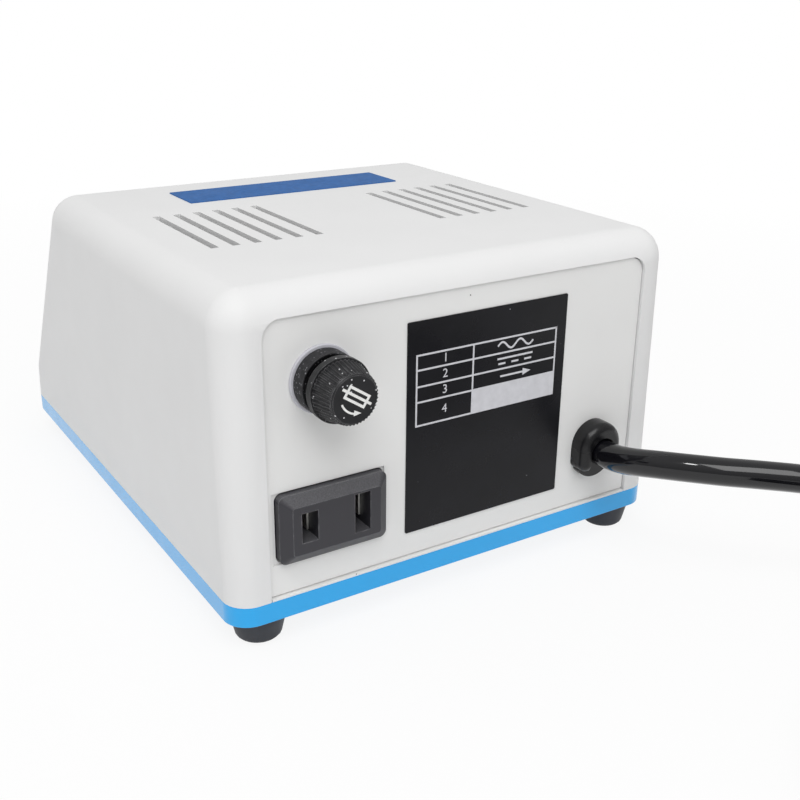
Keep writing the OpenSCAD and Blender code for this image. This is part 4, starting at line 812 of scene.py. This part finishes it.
washer_low, washer_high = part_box("fuse_washer")
cap_end = (washer_low + washer_high) / 2
cap_end.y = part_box("fuse_cap")[1].y
sign_across = math.cos(SIGN_TILT) * leftward + math.sin(SIGN_TILT) * skyward
sign_up = math.cos(SIGN_TILT) * skyward - math.sin(SIGN_TILT) * leftward
fuse_box = [(-FUSE_HALF, FUSE_LOW), (FUSE_HALF, FUSE_LOW), (FUSE_HALF, FUSE_HIGH), (-FUSE_HALF, FUSE_HIGH)]
wire_up = (FUSE_LOW + FUSE_HIGH) / 2
fuse_sign = stroke(fuse_box + fuse_box[:1], FUSE_LINE_W)
fuse_sign += stroke([(-WIRE_HALF, wire_up), (WIRE_HALF, wire_up)], FUSE_LINE_W)
fuse_sign += stroke(arc(TURN_MIDDLE, TURN_R, TURN_START, TURN_END), TURN_LINE_W)
fuse_sign += arrow_head(TURN_TIP, TURN_WAY, TURN_HEAD)
ink("fuse_sign", fuse_sign, cap_end, sign_across, sign_up, white_ink, "fuse_cap")
print("fuse sign at", [round(v / MM, 1) for v in cap_end])

# %% [markdown]
# ## Controls on the sloped front
#
# The other side isn't in the picture, so it has what such a box needs: a speed knob with a dial, a power
# rocker, two small levers, a socket for the handpiece and a lamp. They get their finishes and rounded edges
# like the rest. The lamp could glow by emission, but the box is switched off, so its cap is just clear
# green plastic that lets some light through.

# %% Knob, switches and socket
knob_black = moulded("knob_black", from_screen(38, 38, 41), gloss=(0.42, 0.56), grain=(0.2, 0.008),
                     blotch=(0.06, 5), wear=(0.35, 0.25))
rocker_red = moulded("rocker_red", from_screen(176, 34, 30), gloss=(0.28, 0.4), blotch=(0.05, 6))
switch_black = moulded("switch_black", from_screen(34, 34, 36), gloss=(0.36, 0.5), grain=(0.2, 0.006),
                       blotch=(0.06, 5))
rounded_copy("speed_knob", knob_black, round_mm=0.3)
rounded_copy("knob_pointer", white_ink, round_mm=0.1)
rounded_copy("power_switch_housing", switch_black, round_mm=0.3)
rounded_copy("power_rocker", rocker_red, round_mm=0.35, steps=3, sharper_than=14)
for nut in ("pot_nut", "direction_nut", "mode_nut"):
    rounded_copy(nut, steel, round_mm=0.2)
for lever in ("direction_lever", "mode_lever"):
    rounded_copy(lever, lever_steel, round_mm=0.1)
rounded_copy("socket_shell", lever_steel, round_mm=0.3, steps=3)
rounded_copy("socket_insert", switch_black, round_mm=0.15)
rounded_copy("socket_contacts", nickel, round_mm=0.15)
print("controls dressed")

# %% Lamp
LENS_DARK, LENS_PALE, LENS_TONE_MM = from_screen(40, 150, 72), from_screen(62, 186, 92), 1.5
LENS_GLOSS, LENS_POLISH_MM = (0.08, 0.18), 3
LENS_WAVE_MM, LENS_WAVE_DEPTH = 0.8, 0.01
LENS_CLEAR = 0.25
lamp_green, tree, shader, place = start_finish("lamp_green")
lens_tone = spread(tree, cloud(tree, place, LENS_TONE_MM), 0, 1)
tree.links.new(blend_colours(tree, lens_tone, LENS_DARK, LENS_PALE), shader.inputs["Base Color"])
tree.links.new(spread(tree, cloud(tree, place, LENS_POLISH_MM), *LENS_GLOSS), shader.inputs["Roughness"])
roughen(tree, shader, cloud(tree, place, LENS_WAVE_MM, 1), LENS_WAVE_DEPTH)
shader.inputs["Transmission Weight"].default_value = LENS_CLEAR
rounded_copy("pilot_lamp", lamp_green, round_mm=0.15)
print("lamp", lamp_green.name)

# %% [markdown]
# ## Dial and marks of the controls
#
# The film round the controls has a dial with plain numbers, I and O at the rocker, two arrows for the
# direction of rotation, and signs for knob and foot. The film's own plane gives the directions, and the
# nuts behind the controls give the places, so the print stays where the CAD puts them.

# %% Places on the control film
film_mesh = cad_nodes["control_overlay"].data
film_face = max(film_mesh.polygons, key=lambda face: face.area * -face.normal.y)
film_spot = film_mesh.vertices[film_face.vertices[0]].co.copy()
slope_out = film_face.normal.copy()
slope_across = Vector((1, 0, 0))
slope_up = slope_out.cross(slope_across)


def print_on_film(name, outlines, node):
    """White ink on the film, with its origin in front of the middle of a node."""
    low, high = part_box(node)
    middle = (low + high) / 2
    origin = middle - slope_out * (middle - film_spot).dot(slope_out)
    ink(name, outlines, origin, slope_across, slope_up, white_ink, "case")


print("slope leans back", round(math.degrees(math.asin(slope_out.z)), 1), "degrees")

# %% Dial
DIAL_R, DIAL_STEPS, DIAL_START, DIAL_SWEEP = 17.2, 10, 230, 280
TICK_LENGTH, TICK_W = 1.2, 0.45
DIAL_NUMBER_OUT, DIAL_NUMBER_SIZE = 1.9, 2.8


def on_circle(radius, angle):
    """A point at an angle in degrees on a circle about the origin."""
    turn = math.radians(angle)
    return (radius * math.cos(turn), radius * math.sin(turn))


dial = []
for step in range(DIAL_STEPS + 1):
    angle = DIAL_START - DIAL_SWEEP * step / DIAL_STEPS
    dial += stroke([on_circle(DIAL_R - TICK_LENGTH, angle), on_circle(DIAL_R, angle)], TICK_W)
    dial += numeral(str(step), DIAL_NUMBER_SIZE, on_circle(DIAL_R + DIAL_NUMBER_OUT, angle))
print_on_film("speed_dial", dial, "pot_nut")
print("dial with numbers 0 to", DIAL_STEPS)

# %% Marks at the rocker
ROCKER_SIDE, ROCKER_LINE_W = 10.2, 0.5
ON_LOW, ON_HIGH, OFF_UP, OFF_R = 4.6, 7.2, -5.9, 1.3

rocker_marks = stroke([(ROCKER_SIDE, ON_LOW), (ROCKER_SIDE, ON_HIGH)], ROCKER_LINE_W)
rocker_marks += stroke(arc((ROCKER_SIDE, OFF_UP), OFF_R, 0, 360), ROCKER_LINE_W)
print_on_film("power_marks", rocker_marks, "power_switch_terminals")
print("marks at the rocker")

# %% Marks at the levers
LEVER_LINE_W, LEVER_UP, LEVER_DOWN = 0.4, 8.4, -8.2
BOW_R, BOW_SWEEP, BOW_HEAD, BOW_LEAD = 1.7, 200, 0.9, 0.5
PEDAL_HALF, PEDAL_LOW, PEDAL_TOE, PEDAL_HEEL = 1.6, -9.6, 1, 2
KNOB_R, KNOB_POINTER = 1.3, 1.1

turn_marks = stroke(arc((0, LEVER_UP), BOW_R, BOW_SWEEP, 0), LEVER_LINE_W)
turn_marks += arrow_head((BOW_R, LEVER_UP - BOW_LEAD), -90, BOW_HEAD)
turn_marks += stroke(arc((0, LEVER_DOWN), BOW_R, -BOW_SWEEP, 0), LEVER_LINE_W)
turn_marks += arrow_head((BOW_R, LEVER_DOWN + BOW_LEAD), 90, BOW_HEAD)
print_on_film("direction_marks", turn_marks, "direction_nut")
mode_marks = [[(-PEDAL_HALF, PEDAL_LOW), (PEDAL_HALF, PEDAL_LOW),
               (PEDAL_HALF, PEDAL_LOW + PEDAL_TOE), (-PEDAL_HALF, PEDAL_LOW + PEDAL_HEEL)]]
mode_marks += stroke(arc((0, LEVER_UP), KNOB_R, 0, 360), LEVER_LINE_W)
mode_marks += stroke([(0, LEVER_UP), (0, LEVER_UP + KNOB_POINTER)], LEVER_LINE_W)
print_on_film("mode_marks", mode_marks, "mode_nut")
print("marks at the levers")

# %% Ring round the socket
RING_R, RING_W, RING_STEPS = 11.4, 0.4, 64
print_on_film("socket_ring", stroke(arc((0, 0), RING_R, 0, 360, RING_STEPS), RING_W), "socket_nut")
print("ring of", 2 * RING_R, "mm round the socket")

# %% [markdown]
# ## What is inside
#
# The transformer, the board and the backs of the switches are closed in, and only the vents let one guess at
# them. They still get proper finishes, because the part may be taken apart by whoever uses it. Their CAD
# meshes are good enough as they are.

# %% Finishes inside
brass = metal("brass", from_screen(204, 172, 96), gloss=(0.24, 0.4))
copper = metal("copper_wire", from_screen(178, 98, 52), gloss=(0.25, 0.42), brushed_mm=0.5)
core_iron = metal("core_iron", from_screen(92, 92, 96), gloss=(0.4, 0.6), brushed_mm=0.5)
pot_metal = metal("pot_metal", from_screen(170, 166, 152), gloss=(0.32, 0.48))
sink_metal = metal("sink_metal", from_screen(46, 47, 50), gloss=(0.4, 0.55), brushed_mm=0.6)
bobbin_cream = moulded("bobbin_cream", from_screen(226, 220, 198), gloss=(0.4, 0.55))
board_green = moulded("board_green", from_screen(30, 92, 54), gloss=(0.25, 0.4), grain=(0.8, 0.01),
                      blotch=(0.12, 3))
part_black = moulded("part_black", from_screen(30, 30, 32), gloss=(0.4, 0.55), grain=(0.15, 0.008))
sleeve_blue = moulded("sleeve_blue", from_screen(38, 46, 92), gloss=(0.25, 0.35))
terminal_green = moulded("terminal_green", from_screen(52, 118, 78), gloss=(0.35, 0.5))
switch_blue = moulded("switch_blue", from_screen(90, 116, 154), gloss=(0.35, 0.5))
print(len(bpy.data.materials), "finishes so far")

# %% Nodes inside
inside = {
    steel: ["case_screws", "transformer_frame", "transformer_screws", "board_screws", "pot_shaft",
            "socket_nut", "fuse_end_caps"],
    brass: ["fuse_terminals", "power_switch_terminals"],
    copper: ["transformer_winding"],
    core_iron: ["transformer_core"],
    bobbin_cream: ["transformer_bobbin"],
    board_green: ["circuit_board"],
    part_black: ["rectifier_bridge", "power_transistor", "fuse_holder_nut"],
    sleeve_blue: ["filter_capacitors"],
    sink_metal: ["heat_sink"],
    terminal_green: ["terminal_block"],
    pot_metal: ["speed_pot"],
    switch_blue: ["direction_switch", "mode_switch"],
    lead_black: ["cord_tail"],
}
for finish, names in inside.items():
    for name in names:
        dress(name, finish)
print(sum(len(names) for names in inside.values()), "nodes inside dressed")

# %% [markdown]
# ## Steel bushings
#
# A lever switch is a blue plastic body with a threaded steel bushing that comes out through the front. Both
# are one node in the CAD. Two copies of it could be cut apart, but it is simpler to let the finish itself
# change: what lies in front of the film's plane is steel.

# %% Steel bushings
tree = switch_blue.node_tree
shader = tree.nodes["Principled BSDF"]
outward = tree.nodes.new("ShaderNodeVectorMath")
outward.operation = "DOT_PRODUCT"
tree.links.new(tree.nodes.new("ShaderNodeTexCoord").outputs["Object"], outward.inputs[0])
outward.inputs[1].default_value = slope_out
bushing = calculate(tree, "GREATER_THAN", outward.outputs["Value"], film_spot.dot(slope_out))
plastic = shader.inputs["Base Color"].links[0].from_socket
tree.links.new(blend_colours(tree, bushing, plastic, STEEL), shader.inputs["Base Color"])
tree.links.new(bushing, shader.inputs["Metallic"])
print("bushings are steel in front of the film")

# %% [markdown]
# ## Glass of the fuse
#
# The fuse is a glass tube between two plated caps, and it shows when its holder is drawn out. Clear paint
# would only fade it, so the shader lets the light through and bends it, with a trace of waviness.

# %% Glass of the fuse
GLASS_TINT, CLEAR, GLASS_TINT_MM = (0.93, 0.97, 0.98, 1), (1, 1, 1, 1), 2
GLASS_GLOSS, GLASS_POLISH_MM = (0.01, 0.06), 3
GLASS_WAVE_MM, GLASS_WAVE_DEPTH = 2, 0.004
GLASS_BEND = 1.5
fuse_glass, tree, shader, place = start_finish("fuse_glass")
shader.inputs["Transmission Weight"].default_value = 1
shader.inputs["IOR"].default_value = GLASS_BEND
tint = cloud(tree, place, GLASS_TINT_MM)
tree.links.new(blend_colours(tree, tint, GLASS_TINT, CLEAR), shader.inputs["Base Color"])
tree.links.new(spread(tree, cloud(tree, place, GLASS_POLISH_MM), *GLASS_GLOSS), shader.inputs["Roughness"])
roughen(tree, shader, cloud(tree, place, GLASS_WAVE_MM, 1), GLASS_WAVE_DEPTH)
dress("fuse_link", fuse_glass)
print("glass", fuse_glass.name)

# %% [markdown]
# ## Floor and light
#
# The photograph is a cut-out on white, lit so softly that every side is nearly as bright as the next. An
# even white sky alone would do that, but it would leave no highlight and hardly any shadow. So the sky is
# brighter overhead than at the horizon and gives most of the light, and a large soft box above the camera
# puts the highlights on the rounded edges. A small lamp to its side draws the thin streak along the lead.
# The floor shows white to the camera and keeps a faint shadow under the box: near the object it is part
# matt and part its own light, and further out only light.

# %% Floor
FLOOR_HALF = 3
floor_mesh = bpy.data.meshes.new("floor")
floor_corners = [(x * FLOOR_HALF, y * FLOOR_HALF, 0) for x, y in ((-1, -1), (1, -1), (1, 1), (-1, 1))]
floor_mesh.from_pydata(floor_corners, [], [(0, 1, 2, 3)])
floor = bpy.data.objects.new("floor", floor_mesh)
scene.collection.objects.link(floor)
print("floor of", 2 * FLOOR_HALF, "m")

# %% Finish of the floor
SHADOW_NEAR, SHADOW_FAR, SHADOW_SHARE = 0.1, 0.45, 0.12
MATT_WHITE, MATT_ROUGHNESS = (0.86, 0.86, 0.86, 1), 0.9
floor_white = bpy.data.materials.new("floor_white")
floor_white.use_nodes = True
floor_mesh.materials.append(floor_white)
tree = floor_white.node_tree
matt = tree.nodes["Principled BSDF"]
matt.inputs["Base Color"].default_value = MATT_WHITE
matt.inputs["Roughness"].default_value = MATT_ROUGHNESS
matt.inputs["Specular IOR Level"].default_value = 0
glow = tree.nodes.new("ShaderNodeEmission")
rays = tree.nodes.new("ShaderNodeLightPath")
seen = calculate(tree, "MAXIMUM", rays.outputs["Is Camera Ray"], rays.outputs["Is Glossy Ray"])
seen = calculate(tree, "MAXIMUM", seen, rays.outputs["Is Transmission Ray"])
distance = tree.nodes.new("ShaderNodeVectorMath")
distance.operation = "LENGTH"
tree.links.new(tree.nodes.new("ShaderNodeTexCoord").outputs["Object"], distance.inputs[0])
own_light = spread(tree, distance.outputs["Value"], 1 - SHADOW_SHARE, 1, SHADOW_NEAR, SHADOW_FAR)
blend = tree.nodes.new("ShaderNodeMixShader")
tree.links.new(calculate(tree, "MULTIPLY", seen, own_light), blend.inputs["Fac"])
tree.links.new(matt.outputs["BSDF"], blend.inputs[1])
tree.links.new(glow.outputs["Emission"], blend.inputs[2])
tree.links.new(blend.outputs["Shader"], tree.nodes["Material Output"].inputs["Surface"])
print("near the box,", SHADOW_SHARE, "of the floor's light is from the lamps")

# %% Sky
SKY_LOW, SKY_HIGH, SKY_TOP = 0.41, 0.66, 0.7
WHITE = (1, 1, 1, 1)
sky = bpy.data.worlds.new("white_sky")
sky.use_nodes = True
scene.world = sky
tree = sky.node_tree
soft = tree.nodes["Background"]
soft.inputs["Color"].default_value = WHITE
height = tree.nodes.new("ShaderNodeSeparateXYZ")
tree.links.new(tree.nodes.new("ShaderNodeTexCoord").outputs["Generated"], height.inputs["Vector"])
tree.links.new(spread(tree, height.outputs["Z"], SKY_LOW, SKY_HIGH, 0, SKY_TOP), soft.inputs["Strength"])
white = tree.nodes.new("ShaderNodeBackground")
white.inputs["Color"].default_value = WHITE
rays = tree.nodes.new("ShaderNodeLightPath")
seen = calculate(tree, "MAXIMUM", rays.outputs["Is Camera Ray"], rays.outputs["Is Transmission Ray"])
choice = tree.nodes.new("ShaderNodeMixShader")
tree.links.new(seen, choice.inputs["Fac"])
tree.links.new(soft.outputs["Background"], choice.inputs[1])
tree.links.new(white.outputs["Background"], choice.inputs[2])
tree.links.new(choice.outputs["Shader"], tree.nodes["World Output"].inputs["Surface"])
print("the sky goes from", SKY_LOW, "to", SKY_HIGH)

# %% Lamps
BOX_MIDDLE = Vector((0, 0, 0.04))


def lamp(name, place, size, watts):
    """A square soft box at a place, turned to the middle of the control box."""
    light = bpy.data.lights.new(name, "AREA")
    light.shape = "SQUARE"
    light.size = size
    light.energy = watts
    holder = bpy.data.objects.new(name, light)
    scene.collection.objects.link(holder)
    holder.location = place
    holder.rotation_euler = (BOX_MIDDLE - Vector(place)).to_track_quat("-Z", "Y").to_euler()


lamp("overhead_box", (0.26, 0.7, 1.05), size=0.8, watts=7.1)
lamp("streak_lamp", (0.58, 0.26, 1), size=0.12, watts=1.1)
print("lamps:", [light.name for light in bpy.data.lights])
